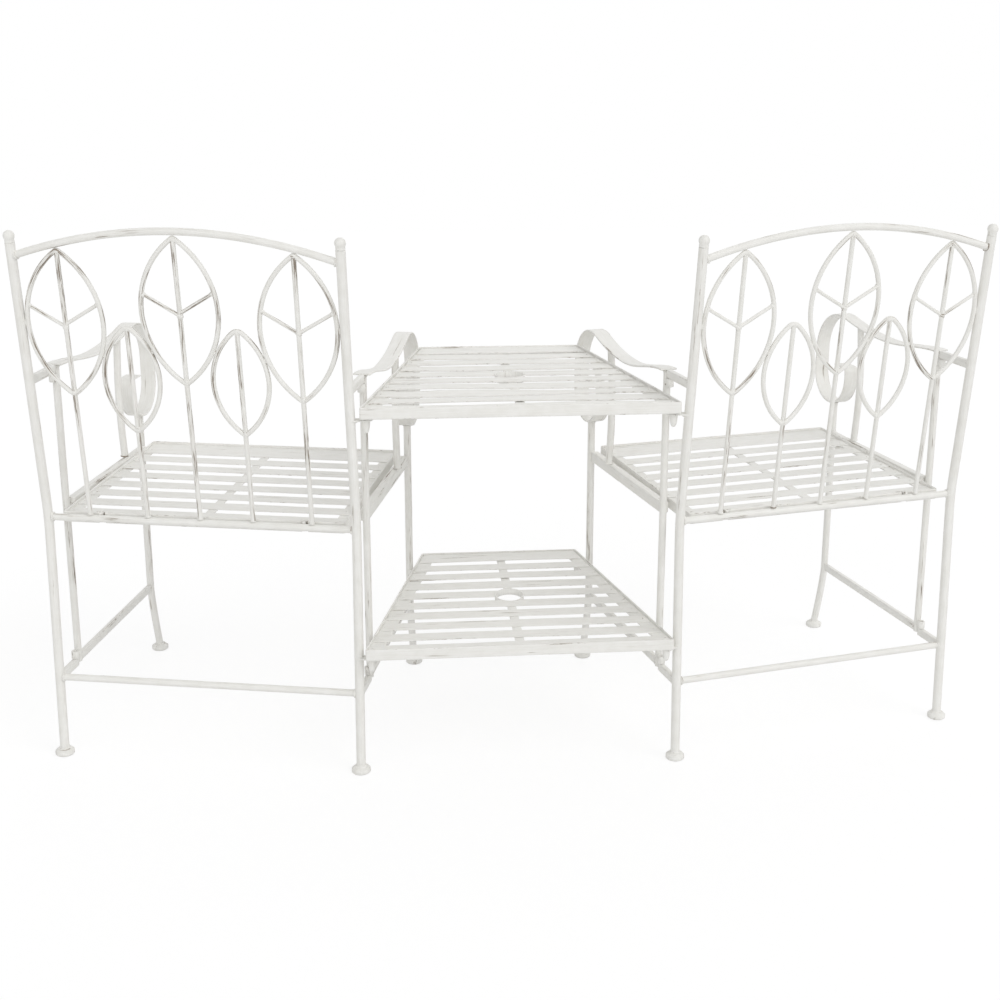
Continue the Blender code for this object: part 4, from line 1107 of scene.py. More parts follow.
def small_leaf(middle, outer, tries=40):
    """The leaf between two large ones, widened until it meets both."""
    narrow = SMALL_LEAF_TIP_RADIUS
    wide = (outer.x - middle.x) / 2
    for _ in range(tries):
        half_width = (narrow + wide) / 2
        near = middle.x
        far = outer.x
        for _ in range(tries):
            leaf = small_form_at((near + far) / 2, half_width)
            if space_between(middle, leaf) < space_between(leaf, outer):
                near = leaf.x
            else:
                far = leaf.x
        if space_between(leaf, outer) > CLEARANCE:
            narrow = half_width
        else:
            wide = half_width
    return small_form_at(leaf.x, narrow)


middle_form = large_leaf(0.0)
outer_form = large_leaf(HALF_SPACING - POST_RADIUS - CLEARANCE - LEAF_ROD - LEAF_HALF_WIDTH)
small_form = small_leaf(middle_form, outer_form)
print("small leaf at x", round(small_form.x, 4), "half width", round(small_form.half_width, 4))

# %% Bending and welding the leaves
VEIN_ROD = 0.003
VEIN_NODE_DROP = 0.127
VEIN_END_DROP = 0.091
VEIN_STAGGER = 0.004
LEAF_FOOT_WELD, FOOT_WELD_UP = (0.0058, 0.0046, 0.0075), 0.004
LEAF_TIP_WELD, TIP_WELD_DOWN = (0.0062, 0.0046, 0.0050), 0.0015
RIB_BEAD, RIB_BEAD_UP = 0.0013, 0.0012
VEIN_END_WELD, VEIN_WELD_BACK = (0.0042, 0.0040, 0.0040), 0.0035
VEIN_NODE_WELD = (0.0054, 0.0048, 0.0060)
TOUCH_WELD = (0.0026, 0.0030, 0.0052)
POST_TOUCH_WELD, POST_TOUCH_OUT = (0.0022, 0.0030, 0.0060), 0.0004


def leaf_piece(place, leaf, veined, stagger=0.0):
    """Bent outline, midrib and veins, with the welds that hold them."""
    shape = Shape(place)
    rod = round_section(LEAF_ROD, sides=14)
    draw_bar(shape, [back_spot(x, up) for x, up in leaf.outline()], rod, BACK_NORMAL)
    rib = [back_spot(leaf.x, RAIL_RADIUS + CLEARANCE), back_spot(leaf.x, leaf.tip())]
    draw_bar(shape, rib, rod, BACK_NORMAL)
    weld_lump(shape, back_spot(leaf.x, leaf.bottom + FOOT_WELD_UP), LEAF_FOOT_WELD)
    weld_lump(shape, back_spot(leaf.x, leaf.tip() - TIP_WELD_DOWN), LEAF_TIP_WELD)
    weld_ring(shape, back_spot(leaf.x, RAIL_RADIUS + RIB_BEAD_UP), UP, LEAF_ROD, RIB_BEAD, steps=16)
    if veined:
        for side, rise in ((-1, stagger), (1, 0.0)):
            node = back_spot(leaf.x, leaf.tip() - VEIN_NODE_DROP + rise)
            end_up = leaf.tip() - VEIN_END_DROP + rise
            end = back_spot(leaf.x + side * leaf.half_width_at(end_up), end_up)
            draw_bar(shape, [node, end], round_section(VEIN_ROD, sides=12), BACK_NORMAL)
            weld_lump(shape, end - (end - node).normalized() * VEIN_WELD_BACK, VEIN_END_WELD)
        weld_lump(shape, node, VEIN_NODE_WELD)
    return shape


def touch_weld(shape, first, second):
    """A small weld where the right arc of one leaf meets the left arc of the next."""
    toward = (second.arc_centre(-1) - first.arc_centre(1)).normalized()
    x, up = first.arc_centre(1) + toward * (first.radius + LEAF_ROD)
    weld_lump(shape, back_spot(x, up), TOUCH_WELD)


for name, hand in CHAIRS:
    place = chair_place(hand)
    stagger = VEIN_STAGGER if name == "left" else 0.0
    shape = leaf_piece(place, middle_form, True, stagger)
    shape.make(f"{name}_middle_leaf", LEAF_PAINTS[name], slot="rubbed_paint")
    for side_name, side in SIDES:
        right_hand = side * hand > 0
        large = outer_form if right_hand else outer_form.mirrored()
        small = small_form if right_hand else small_form.mirrored()
        shape = leaf_piece(place, large, True, stagger if side_name == "outer" else 0.0)
        post_side = math.copysign(HALF_SPACING - POST_RADIUS - POST_TOUCH_OUT, large.x)
        weld_lump(shape, back_spot(post_side, large.middle), POST_TOUCH_WELD)
        shape.make(f"{name}_{side_name}_leaf", LEAF_PAINTS[name], slot="rubbed_paint")
        shape = leaf_piece(place, small, False)
        neighbours = (middle_form, small, large) if right_hand else (large, small, middle_form)
        for first, second in zip(neighbours, neighbours[1:]):
            touch_weld(shape, first, second)
        shape.make(f"{name}_{side_name}_small_leaf", LEAF_PAINTS[name], slot="rubbed_paint")

# %% [markdown]
# ## Arms
# Each arm is a flat strip that is bent on edge. It dips a little behind the elbow, rolls down at the front
# into a scroll that stands on the front leg, and ends in a short hook inside the scroll. The strip's line
# is drawn from a smooth dip, two arcs and the hook, and its section keeps its width across the chair all
# the way.

# %% The arm's line
ARM_REAR = 0.077
ARM_REAR_HEIGHT = 0.689
ARM_CREST_HEIGHT = 0.692
ARM_CREST_ANGLE = math.radians(16.4)
OUTER_ARM_LIFT = 0.0025
OUTER_CREST_ANGLE = math.radians(13)
ARM_DIP_FORWARD = 0.243
SCROLL_FRONT_RADIUS = 0.0845
SCROLL_BOTTOM = 0.510
SCROLL_END_RISE = 0.0125
HOOK_RADIUS = 0.010
HOOK_LENGTH = 0.033
ARM_CORNER = 0.0012
ARM_EASE = 0.0007
ARM_UNDERSIDE = ARM_THICKNESS * 0.51
ARM_CREST_FORWARD = FRONT_LEG_FORWARD + SCROLL_RADIUS - SCROLL_FRONT_RADIUS


class ArmLine:
    """The middle line of an arm strip as (forward, height)."""

    def __init__(self, lift, crest_angle):
        self.crest_height = ARM_CREST_HEIGHT + lift
        self.crest_angle = crest_angle
        self.bend_forward = ARM_CREST_FORWARD - SCROLL_FRONT_RADIUS * math.sin(crest_angle)
        self.bend_height = self.crest_height - SCROLL_FRONT_RADIUS * (1 - math.cos(crest_angle))
        dip_length = self.bend_forward - ARM_DIP_FORWARD
        self.dip_height = self.bend_height - math.tan(crest_angle) * dip_length / 2

    def rise(self, forward):
        """Height of the line between its rear end and the bend where the scroll begins."""
        if forward < ARM_DIP_FORWARD:
            share = (forward - ARM_REAR) / (ARM_DIP_FORWARD - ARM_REAR)
            return ARM_REAR_HEIGHT + (self.dip_height - ARM_REAR_HEIGHT) * share ** 2 * (3 - 2 * share)
        share = (forward - ARM_DIP_FORWARD) / (self.bend_forward - ARM_DIP_FORWARD)
        return self.dip_height + (self.bend_height - self.dip_height) * share ** 2

    def points(self, rear_steps=36, crest_steps=22, scroll_steps=30, hook_steps=8):
        """From the rear end over the crest and round the scroll to the end of the hook."""
        points = []
        for i in range(rear_steps):
            forward = ARM_REAR + (self.bend_forward - ARM_REAR) * i / rear_steps
            points.append((forward, self.rise(forward)))
        crest = Vector((ARM_CREST_FORWARD, self.crest_height - SCROLL_FRONT_RADIUS))
        points += arc_points(crest, SCROLL_FRONT_RADIUS, math.pi / 2 + self.crest_angle, 0.0, crest_steps)
        scroll = Vector((FRONT_LEG_FORWARD, SCROLL_BOTTOM + SCROLL_RADIUS))
        points += arc_points(scroll, SCROLL_RADIUS, 0.0, -math.pi, scroll_steps)
        hook = scroll + Vector((HOOK_RADIUS - SCROLL_RADIUS, SCROLL_END_RISE))
        points += arc_points(hook, HOOK_RADIUS, math.pi, math.pi / 2, hook_steps)
        points.append((hook.x + HOOK_LENGTH, hook.y + HOOK_RADIUS))
        return points

    def room_under(self, forward, radius):
        """Highest level of a rod that stands under the strip."""
        edges = (forward - radius, forward, forward + radius)
        return min(self.rise(edge) for edge in edges) - ARM_UNDERSIDE - CLEARANCE


ARM_LINES = {"inner": ArmLine(0.0, ARM_CREST_ANGLE), "outer": ArmLine(OUTER_ARM_LIFT, OUTER_CREST_ANGLE)}
print("arm strip with", len(ARM_LINES["inner"].points()), "points")

# %% All arms
for name, side_name, x, place in every_side():
    arm = Shape(place)
    line = [spot(x, forward, height) for forward, height in ARM_LINES[side_name].points()]
    draw_bar(arm, line, flat_section(ARM_WIDTH, ARM_THICKNESS, ARM_CORNER), ACROSS, ease=ARM_EASE)
    arm.make(f"{name}_{side_name}_arm", POST_PAINT)

# %% [markdown]
# ## Side frames
# Under each arm stands a gate: a rear upright with two hinge barrels, a front leg that flares at its foot,
# a bowed rod that carries the arm, a bar beside the seat and a flat stretcher on edge. Rods are bent round
# bars and the two bars are flat sections, so the same helper draws them all. The welds under the arm and at
# the bars' ends hold the gate together.

# %% Uprights with their hinge barrels
ROD_RADIUS = 0.0063
ROD_BEAD = 0.0014
BARREL_RADIUS = 0.0068
BARREL_HEIGHT = 0.0145
BARREL_WELD = (0.0022, 0.0028, BARREL_HEIGHT * 0.42)
BARREL_WELD_ACROSS = 0.0045
BARREL_WELD_FORWARD = UPRIGHT_FORWARD - 0.0062
UPRIGHT_BEAD_DROP = 0.002
SIDE_STRETCHER_HEIGHT = 0.148
SIDE_BAR_THICKNESS = 0.008
SIDE_BAR_HEIGHT = 0.0145

for name, side_name, x, place in every_side():
    upright = Shape(place)
    low = SIDE_STRETCHER_HEIGHT - SIDE_BAR_HEIGHT / 2
    high = ARM_LINES[side_name].room_under(UPRIGHT_FORWARD, ROD_RADIUS)
    draw_bar(upright, [spot(x, UPRIGHT_FORWARD, low), spot(x, UPRIGHT_FORWARD, high)],
             round_section(ROD_RADIUS), ACROSS)
    weld_ring(upright, spot(x, UPRIGHT_FORWARD, high - UPRIGHT_BEAD_DROP), UP, ROD_RADIUS, ROD_BEAD)
    barrel_place = standing_at(spot(x, BARREL_FORWARD, 0.0))
    upper_base = BRACKET_TOP - BRACKET_HEIGHT - CLEARANCE - BARREL_HEIGHT
    for base in (upper_base, LOWER_BRACKET_TOP + CLEARANCE):
        barrel = ring_outline(PIN_RADIUS + CLEARANCE, BARREL_RADIUS, base, base + BARREL_HEIGHT)
        turn_piece(upright, barrel, barrel_place, sides=26, ring=True)
        for edge_side in (-1, 1):
            seam = spot(x + edge_side * BARREL_WELD_ACROSS, BARREL_WELD_FORWARD, base + BARREL_HEIGHT / 2)
            weld_lump(upright, seam, BARREL_WELD)
    upright.make(f"{name}_{side_name}_upright", ROD_PAINTS[name])
print("uprights stand", UPRIGHT_FORWARD, "m ahead of the posts")

# %% Front legs
FRONT_LEG_RADIUS = 0.007
FRONT_LEG_FLARE = 0.031
FLARE_HEIGHT = 0.1455
FLARE_POWER = 1.25
LEG_BEAD_DROP = 0.0016


def leg_line(x, steps=20):
    """Straight under the scroll and flared forward at the foot."""
    points = [spot(x, FRONT_LEG_FORWARD, SCROLL_BOTTOM - ARM_THICKNESS / 2 - CLEARANCE)]
    for i in range(steps + 1):
        share = i / steps
        height = FLARE_HEIGHT + (FOOT_EDGE - FLARE_HEIGHT) * share
        points.append(spot(x, FRONT_LEG_FORWARD + FRONT_LEG_FLARE * share ** FLARE_POWER, height))
    return points


for name, side_name, x, place in every_side():
    leg = Shape(place)
    line = leg_line(x)
    draw_bar(leg, line, round_section(FRONT_LEG_RADIUS), ACROSS)
    weld_ring(leg, line[0] - UP * LEG_BEAD_DROP, UP, FRONT_LEG_RADIUS, ROD_BEAD)
    add_foot(leg, spot(x, FRONT_LEG_FORWARD + FRONT_LEG_FLARE, 0.0), FRONT_LEG_RADIUS)
    if side_name == "inner":
        rod = spot(x, FRONT_LEG_FORWARD, 0.0)
        eye_plate(leg, rod, peg_spot(x, FRONT_LEG_FORWARD), SHELF_HEIGHT - EYE_DROP)
    leg.make(f"{name}_{side_name}_front_leg", ROD_PAINTS[name])
print("front legs", FRONT_LEG_FORWARD, "m ahead of the posts")

# %% Rods that carry the arms
SUPPORT_FORWARDS = {"outer": 0.357, "inner": 0.346}
SUPPORT_BOW = 0.009
SUPPORT_RADIUS = 0.0066
SUPPORT_BEAD = 0.0013
SUPPORT_BEAD_UP = 0.0012
SUPPORT_BEAD_DROP = 0.0018
SIDE_RAIL_TOP = 0.4475
SUPPORT_LOW = SIDE_RAIL_TOP + CLEARANCE


class SupportLine:
    """A rod that bows back between its two upright ends under an arm."""

    def __init__(self, side_name):
        self.forward = SUPPORT_FORWARDS[side_name]
        self.high = ARM_LINES[side_name].room_under(self.forward, SUPPORT_RADIUS)
        self.bow_low = SUPPORT_LOW + SUPPORT_RADIUS
        self.bow_high = self.high - SUPPORT_RADIUS

    def forward_at(self, height):
        """How far ahead of the rear feet the bowed rod lies at a height."""
        share = (height - self.bow_low) / (self.bow_high - self.bow_low)
        return self.forward - SUPPORT_BOW * math.sin(share * math.pi)

    def points(self, x, steps=24):
        """The rod's middle line from the side rail up to the arm."""
        heights = [self.bow_low + (self.bow_high - self.bow_low) * i / steps for i in range(steps + 1)]
        bowed = [spot(x, self.forward_at(height), height) for height in heights]
        return [spot(x, self.forward, SUPPORT_LOW), *bowed, spot(x, self.forward, self.high)]


for name, side_name, x, place in every_side():
    support = Shape(place)
    line = SupportLine(side_name)
    draw_bar(support, line.points(x), round_section(SUPPORT_RADIUS), ACROSS)
    for height in (SUPPORT_LOW + SUPPORT_BEAD_UP, line.high - SUPPORT_BEAD_DROP):
        weld_ring(support, spot(x, line.forward, height), UP, SUPPORT_RADIUS, SUPPORT_BEAD)
    if side_name == "inner":
        eye_top = TABLE_HEIGHT - EYE_DROP
        eye_plate(support, spot(x, line.forward_at(eye_top), 0.0), peg_spot(x, line.forward), eye_top)
    support.make(f"{name}_{side_name}_support_rod", ROD_PAINTS[name])
print("inner support rods end at", round(SupportLine("inner").high, 4), "m")

# %% Bars beside the seat and low stretchers
SIDE_RAIL_WIDTH = 0.015
SIDE_RAIL_DEPTH = 0.020
SIDE_RAIL_INSET = 0.0055
SIDE_RAIL_CORNER = 0.0022
SIDE_RAIL_EASE = 0.0012
SIDE_RAIL_WELD = (0.0055, 0.0026, 0.0020)
SIDE_RAIL_WELD_IN = 0.0015
SIDE_RAIL_WELD_HEIGHT = SIDE_RAIL_TOP - 0.0005
SIDE_RAIL_WELD_INSET = 0.001
STRETCHER_CORNER = 0.0014
STRETCHER_WELD = (0.0016, 0.0020, 0.0060)
STRETCHER_WELD_IN = 0.0012
STRETCHER_WELD_ACROSS = 0.0036
BAR_REAR = UPRIGHT_FORWARD + ROD_RADIUS + CLEARANCE
BAR_FRONT = FRONT_LEG_FORWARD - FRONT_LEG_RADIUS - CLEARANCE
REST_PEG_FORWARD = 0.375
REST_PEG_RADIUS = 0.004
REST_PEG_REACH = 0.008
SEAT_WIDTH = 0.492
SEAT_TILT = math.radians(1.05)
SEAT_SLAT_TOP = 0.0005
SEAT_RIM_RISE = 0.004
SEAT_RIM_HEIGHT = 0.019


def rest_peg_height():
    """Level of the peg on which the seat's rim rests."""
    ahead = REST_PEG_FORWARD - SEAT_HINGE_FORWARD
    rim_low = SEAT_SLAT_TOP + SEAT_RIM_RISE - SEAT_RIM_HEIGHT
    seat_low = SEAT_HINGE_HEIGHT + ahead * math.sin(SEAT_TILT) + rim_low * math.cos(SEAT_TILT)
    return seat_low - REST_PEG_RADIUS * (1 + math.tan(SEAT_TILT)) - CLEARANCE


for name, side_name, x, place in every_side():
    toward = math.copysign(1.0, x)
    middle = toward * (HALF_SPACING - SIDE_RAIL_INSET)
    bar = Shape(place)
    height = SIDE_RAIL_TOP - SIDE_RAIL_DEPTH / 2
    line = [spot(middle, end, height) for end in (BAR_REAR, BAR_FRONT)]
    section = flat_section(SIDE_RAIL_WIDTH, SIDE_RAIL_DEPTH, SIDE_RAIL_CORNER)
    draw_bar(bar, line, section, ACROSS, ease=SIDE_RAIL_EASE)
    peg_end = toward * (SEAT_WIDTH / 2 - REST_PEG_REACH)
    peg_line = [spot(across, REST_PEG_FORWARD, rest_peg_height()) for across in (middle, peg_end)]
    draw_bar(bar, peg_line, round_section(REST_PEG_RADIUS, sides=14), UP)
    for end in (BAR_REAR + SIDE_RAIL_WELD_IN, BAR_FRONT - SIDE_RAIL_WELD_IN):
        weld_lump(bar, spot(x - toward * SIDE_RAIL_WELD_INSET, end, SIDE_RAIL_WELD_HEIGHT), SIDE_RAIL_WELD)
    bar.make(f"{name}_{side_name}_side_rail", ROD_PAINTS[name])
    stretcher = Shape(place)
    line = [spot(x, end, SIDE_STRETCHER_HEIGHT) for end in (BAR_REAR, BAR_FRONT)]
    draw_bar(stretcher, line, flat_section(SIDE_BAR_THICKNESS, SIDE_BAR_HEIGHT, STRETCHER_CORNER), ACROSS)
    for end in (BAR_REAR + STRETCHER_WELD_IN, BAR_FRONT - STRETCHER_WELD_IN):
        for edge_side in (-1, 1):
            seam = spot(x + edge_side * STRETCHER_WELD_ACROSS, end, SIDE_STRETCHER_HEIGHT)
            weld_lump(stretcher, seam, STRETCHER_WELD)
    stretcher.make(f"{name}_{side_name}_side_stretcher", ROD_PAINTS[name])
print("seat rests at", round(rest_peg_height() + REST_PEG_RADIUS, 4), "m")

# %% [markdown]
# ## Seats
# A seat is a shallow tray of sheet metal. A rim on edge goes round it, a flange runs along each side inside
# the rim, and the slats lie across the two flanges, with one long brace under their middles. The rear bar
# is notched for the two hinge lugs. The rim is a bar bent round rounded corners, and everything else is
# plates. All of it is drawn about the hinge's axis, so that the seat can swing up.

# %% Rounded lines and spot welds
SPOT_WELD = ((0.0040, -0.0003), (0.0033, 0.00035), (0.0018, 0.00065), (0.0, 0.0007))
SPOT_WAVES = (91.0, 83.0, 17.0)
SPOT_SWELL = 0.3


def rounded_line(corners, radius, closed, steps=6):
    """A line through corners that are rounded over a distance of the radius."""
    points = []
    last = len(corners) - 1
    for i, corner in enumerate(corners):
        corner = Vector(corner)
        if not closed and i in (0, last):
            points.append(corner)
            continue
        start = corner + (Vector(corners[i - 1]) - corner).normalized() * radius
        end = corner + (Vector(corners[(i + 1) % len(corners)]) - corner).normalized() * radius
        points += rounded_corner(start, corner, end, steps)
    # A closed line starts inside a corner, where the join of the wear pattern is only a step long.
    return points[1:] + points[:1] if closed else points


def spot_weld(shape, place, x, y, top):
    """A flat round dimple of weld on a slat's end."""
    wave = Vector((x, y, top)) * Vector(SPOT_WAVES)
    swell = 1.0 + SPOT_SWELL * noise.noise(wave)
    outline = [(radius * swell, top + rise, NOT_WORN) for radius, rise in SPOT_WELD]
    turn_piece(shape, outline, place @ Matrix.Translation((x, y, 0.0)), sides=14, finish=WELD)


print("rounded corner:", len(rounded_line([(0, 0), (1, 0), (1, 1)], 0.1, False)), "points")

# %% [markdown]
# A slat is thin strip that is welded down at its two ends only, and none has stayed quite flat. The gaps of
# the real set open and close along their length for that reason. So each slat is drawn in steps along its
# length, and noise lifts or lowers its front and rear edges between the welds: by a millimetre or less on
# the seats and the shelf, and by up to two on the table.

# %% Slats
BOW_WAVES = (5.0, 40.0, 3.0)
SLAT_RUB_BAND = 0.0026
SLAT_END_WORN = 0.7


def draw_slat(shape, corners, low, top, place, bow, steps=28):
    """A slat between four corners, from its front left one anticlockwise, that bows by up to a distance."""
    shape.begin()
    front_left, front_right, rear_right, rear_left = [Vector(corner) for corner in corners]
    length = (front_right - front_left).length
    rows_up = edge_rows(low, top, PLATE_EASE, SLAT_RUB_BAND)
    front, rear = 0, 1
    section = [(front, *rows_up[0])] + [(rear, *row) for row in rows_up]
    section += [(front, *row) for row in reversed(rows_up[1:])]
    start = [(0.0, WORN), (PLATE_EASE / length, SLAT_END_WORN), (END_BAND * PLATE_EASE / length, NOT_WORN)]
    finish = [(1 - share, worn) for share, worn in reversed(start)]
    rings = []
    for share, worn in start + [(i / steps, NOT_WORN) for i in range(1, steps)] + finish:
        ends = (front_left.lerp(front_right, share), rear_left.lerp(rear_right, share))
        rearward = (ends[1] - ends[0]).normalized()
        free = 1 - (2 * share - 1) ** 4
        bows = []
        for end in ends:
            wave = Vector((end.x * BOW_WAVES[0], end.y * BOW_WAVES[1], shape.wear_start * BOW_WAVES[2]))
            bows.append(bow * free * noise.noise(wave))
        rows = []
        for edge, inset, height, rub in section:
            x, y = ends[edge] + rearward * (-inset if edge == rear else inset)
            rows.append((place @ Vector((x, y, height + bows[edge])), (x, y, height), max(rub, worn)))
        rings.append(shape.ring(rows))
    shape.skin(rings)


print("slats bow in", BOW_WAVES[0], "waves a metre")

# %% Sizes of a seat
SEAT_DEPTH = 0.431
SEAT_HINGE_INSET = 0.006
SEAT_RIM_WALL = 0.0034
SEAT_RIM_CORNER = 0.0012
SEAT_RIM_BEND = 0.0045
SEAT_FLANGE = 0.022
SEAT_FLANGE_REAR = -0.011
SEAT_REAR_BAR = 0.034
SEAT_FRONT_BAR = 0.068
REAR_BAR_WELD = 0.6
FRONT_BAR_WELD = 0.7
SEAT_SLATS = 6
SEAT_WELD_INSET = 0.0125
SLAT_WIDTH = 0.032
SEAT_SHEET = 0.0013
SEAT_BOW = 0.0010
FLANGE_SHEET = 0.002
BRACE_WIDTH = 0.016
NOTCH_HALF = 0.005
NOTCH_FRONT = -0.009
KNUCKLE_LENGTH = 0.007
KNUCKLE_RADIUS = 0.0045
KNUCKLE_EASE = 0.0004
KNUCKLE_TAIL = -0.0105
KNUCKLE_LAP = 0.0008
KNUCKLE_BAND = 0.001
TUCK = 0.0006
SEAT_REAR = SEAT_HINGE_INSET
SEAT_FRONT = SEAT_REAR - SEAT_DEPTH
SEAT_HALF = SEAT_WIDTH / 2
SEAT_BARS = SEAT_REAR_BAR + SEAT_FRONT_BAR + SEAT_SLATS * SLAT_WIDTH
SEAT_GAP = (SEAT_DEPTH - SEAT_BARS) / (SEAT_SLATS + 1)
print("gaps between a seat's slats:", round(SEAT_GAP * 1000, 1), "mm")

# %% Rim, rear bar and hinge rings of a seat
def notched_bar(half, front, rear, notch_half):
    """The rear bar with a notch at each hinge, anticlockwise."""
    outline = [(-half, front), (half, front), (half, rear)]
    for x in (SEAT_HINGE_SPREAD, -SEAT_HINGE_SPREAD):
        outline += [(x + notch_half, rear), (x + notch_half, NOTCH_FRONT),
                    (x - notch_half, NOTCH_FRONT), (x - notch_half, rear)]
    return outline + [(-half, rear)]


def draw_seat_rim(shape, place):
    """The rim on edge, in two lengths that leave the hinges free."""
    wall = SEAT_RIM_WALL
    middle = SEAT_SLAT_TOP + SEAT_RIM_RISE - SEAT_RIM_HEIGHT / 2
    section = flat_section(SEAT_RIM_HEIGHT, wall, SEAT_RIM_CORNER)
    left = -SEAT_HALF + wall / 2
    rear = SEAT_REAR - wall / 2
    front = SEAT_FRONT + wall / 2
    notch_edge = SEAT_HINGE_SPREAD + NOTCH_HALF
    corners = [(-notch_edge, rear), (left, rear), (left, front), (-left, front), (-left, rear),
               (notch_edge, rear)]
    round_rim = rounded_line(corners, SEAT_RIM_BEND, False)
    inner_edge = SEAT_HINGE_SPREAD - NOTCH_HALF
    for line in (round_rim, [(-inner_edge, rear), (inner_edge, rear)]):
        draw_bar(shape, [place @ Vector((x, y, middle)) for x, y in line], section, place.col[2].to_3d())


def draw_seat_knuckle(shape, place, middle, low):
    """A hinge ring and the short plate that ties it to the rear bar."""
    half = KNUCKLE_LENGTH / 2
    ring = ring_outline(SEAT_PIN_RADIUS + CLEARANCE, KNUCKLE_RADIUS, -half, half, KNUCKLE_EASE)
    turn_piece(shape, ring, place @ lying_across(Vector((middle, 0.0, 0.0))), sides=20, ring=True)
    tail = oblong(middle - half, middle + half, KNUCKLE_TAIL, -KNUCKLE_RADIUS + KNUCKLE_LAP)
    cut_plate(shape, tail, low - FLANGE_SHEET, low, place, KNUCKLE_EASE, KNUCKLE_BAND)


print("hinge rings", SEAT_HINGE_SPREAD, "m to each side")

# %% Seat panels
def draw_seat(shape, place):
    """All of a seat about its hinge axis: x across, forward towards -y."""
    draw_seat_rim(shape, place)
    top = SEAT_SLAT_TOP
    low = top - SEAT_SHEET
    inside = SEAT_HALF - SEAT_RIM_WALL + TUCK
    plate_rear = SEAT_REAR - SEAT_RIM_WALL + TUCK
    plate_front = SEAT_FRONT + SEAT_RIM_WALL - TUCK
    rear_bar = notched_bar(inside, SEAT_REAR - SEAT_REAR_BAR, plate_rear, NOTCH_HALF + KNUCKLE_LENGTH + TUCK)
    front_bar = oblong(-inside, inside, plate_front, SEAT_FRONT + SEAT_FRONT_BAR)
    for outline in (rear_bar, front_bar):
        cut_plate(shape, outline, low, top, place)
    weld_rows = [SEAT_REAR - SEAT_REAR_BAR * REAR_BAR_WELD, SEAT_FRONT + SEAT_FRONT_BAR * FRONT_BAR_WELD]
    for i in range(SEAT_SLATS):
        rear = SEAT_REAR - SEAT_REAR_BAR - SEAT_GAP - i * (SLAT_WIDTH + SEAT_GAP)
        draw_slat(shape, oblong(-inside, inside, rear - SLAT_WIDTH, rear), low, top, place, SEAT_BOW)
        weld_rows.append(rear - SLAT_WIDTH / 2)
    for side in (-1, 1):
        left, right = sorted((side * (SEAT_HALF - SEAT_FLANGE), side * inside))
        flange = oblong(left, right, plate_front, SEAT_FLANGE_REAR)
        cut_plate(shape, flange, low - FLANGE_SHEET, low, place)
        for y in weld_rows:
            spot_weld(shape, place, side * (SEAT_HALF - SEAT_WELD_INSET), y, top)
    brace = oblong(-BRACE_WIDTH / 2, BRACE_WIDTH / 2, plate_front, plate_rear)
    cut_plate(shape, brace, low - FLANGE_SHEET, low, place)
    for side in (-1, 1):
        for step in (-1, 1):
            middle = side * SEAT_HINGE_SPREAD + step * (NOTCH_HALF + KNUCKLE_LENGTH / 2)
            draw_seat_knuckle(shape, place, middle, low)


for name, hand in CHAIRS:
    seat = Shape(chair_place(hand))
    hinge = Matrix.Translation(spot(0.0, SEAT_HINGE_FORWARD, SEAT_HINGE_HEIGHT))
    draw_seat(seat, hinge @ Matrix.Rotation(-SEAT_TILT, 4, "X"))
    seat.make(f"{name}_seat_panel", SLAT_PAINT, f"{name}_seat", "slat_paint")

# %% [markdown]
# ## Table top and shelf
# The two trays between the chairs are made like the seats, but they taper towards the front, because the
# chairs turn inward. A parasol's pole can stand through a round collar in each. Four pegs under the sides
# drop into the eyes on the chairs, so a tray lifts straight off. The slat in front of the collar is cut
# away round it and the one behind is only bitten.

# %% Outlines of a tray
TRAY_EDGE = 0.2842
TRAY_TAPER = CHAIR_TURN + TRAY_EXTRA_TAPER
TRAY_REAR_REACH = 0.0177
TRAY_FRONT_REACH = 0.0306
TRAY_REAR = (chair_place(1) @ peg_spot(-1, 0.0)).y + TRAY_REAR_REACH
TRAY_FRONT = (chair_place(1) @ peg_spot(-1, FRONT_LEG_FORWARD)).y - TRAY_FRONT_REACH
TRAY_DEPTH = TRAY_REAR - TRAY_FRONT
TRAY_REAR_HALF = (CHAIR_OFFSET - TRAY_EDGE / math.cos(CHAIR_TURN)
                  + (TRAY_REAR - CHAIR_Y) * math.tan(CHAIR_TURN))
TRAY_WALL = 0.0028
TRAY_RIM_CORNER = 0.0010
TRAY_RIM_BEND = 0.0035
TRAY_RIM_RISE = 0.0025
TRAY_FLANGE = 0.028
TRAY_REAR_BAR = 0.0245
TRAY_FRONT_BAR = 0.0505
TRAY_SLATS = 8
TRAY_SLAT_WIDTH = 0.0315
TRAY_WELD_INSET = 0.0115
TRAY_BARS = TRAY_REAR_BAR + TRAY_FRONT_BAR + TRAY_SLATS * TRAY_SLAT_WIDTH
TRAY_GAP = (TRAY_DEPTH - TRAY_BARS) / (TRAY_SLATS + 1)
SLAT_END_INSET = 0.0062
HOLE_RADIUS = 0.0248
HOLE_AHEAD = 0.239
HOLE_Y = TRAY_REAR - HOLE_AHEAD
COLLAR_RADIUS = 0.0268
COLLAR_HEIGHT = 0.0125
COLLAR_EASE = 0.0005


def tray_half(y, inset=0.0):
    """Half of a tray's width at y, drawn in at right angles to its sides by the inset."""
    return TRAY_REAR_HALF - (TRAY_REAR - y) * math.tan(TRAY_TAPER) - inset / math.cos(TRAY_TAPER)


def tapered(front, rear, inset):
    """An outline with sides along the tray's, anticlockwise."""
    return [(-tray_half(front, inset), front), (tray_half(front, inset), front),
            (tray_half(rear, inset), rear), (-tray_half(rear, inset), rear)]


print("tray", round(TRAY_DEPTH, 3), "m deep,", round(2 * tray_half(TRAY_REAR), 3), "m wide at the rear")

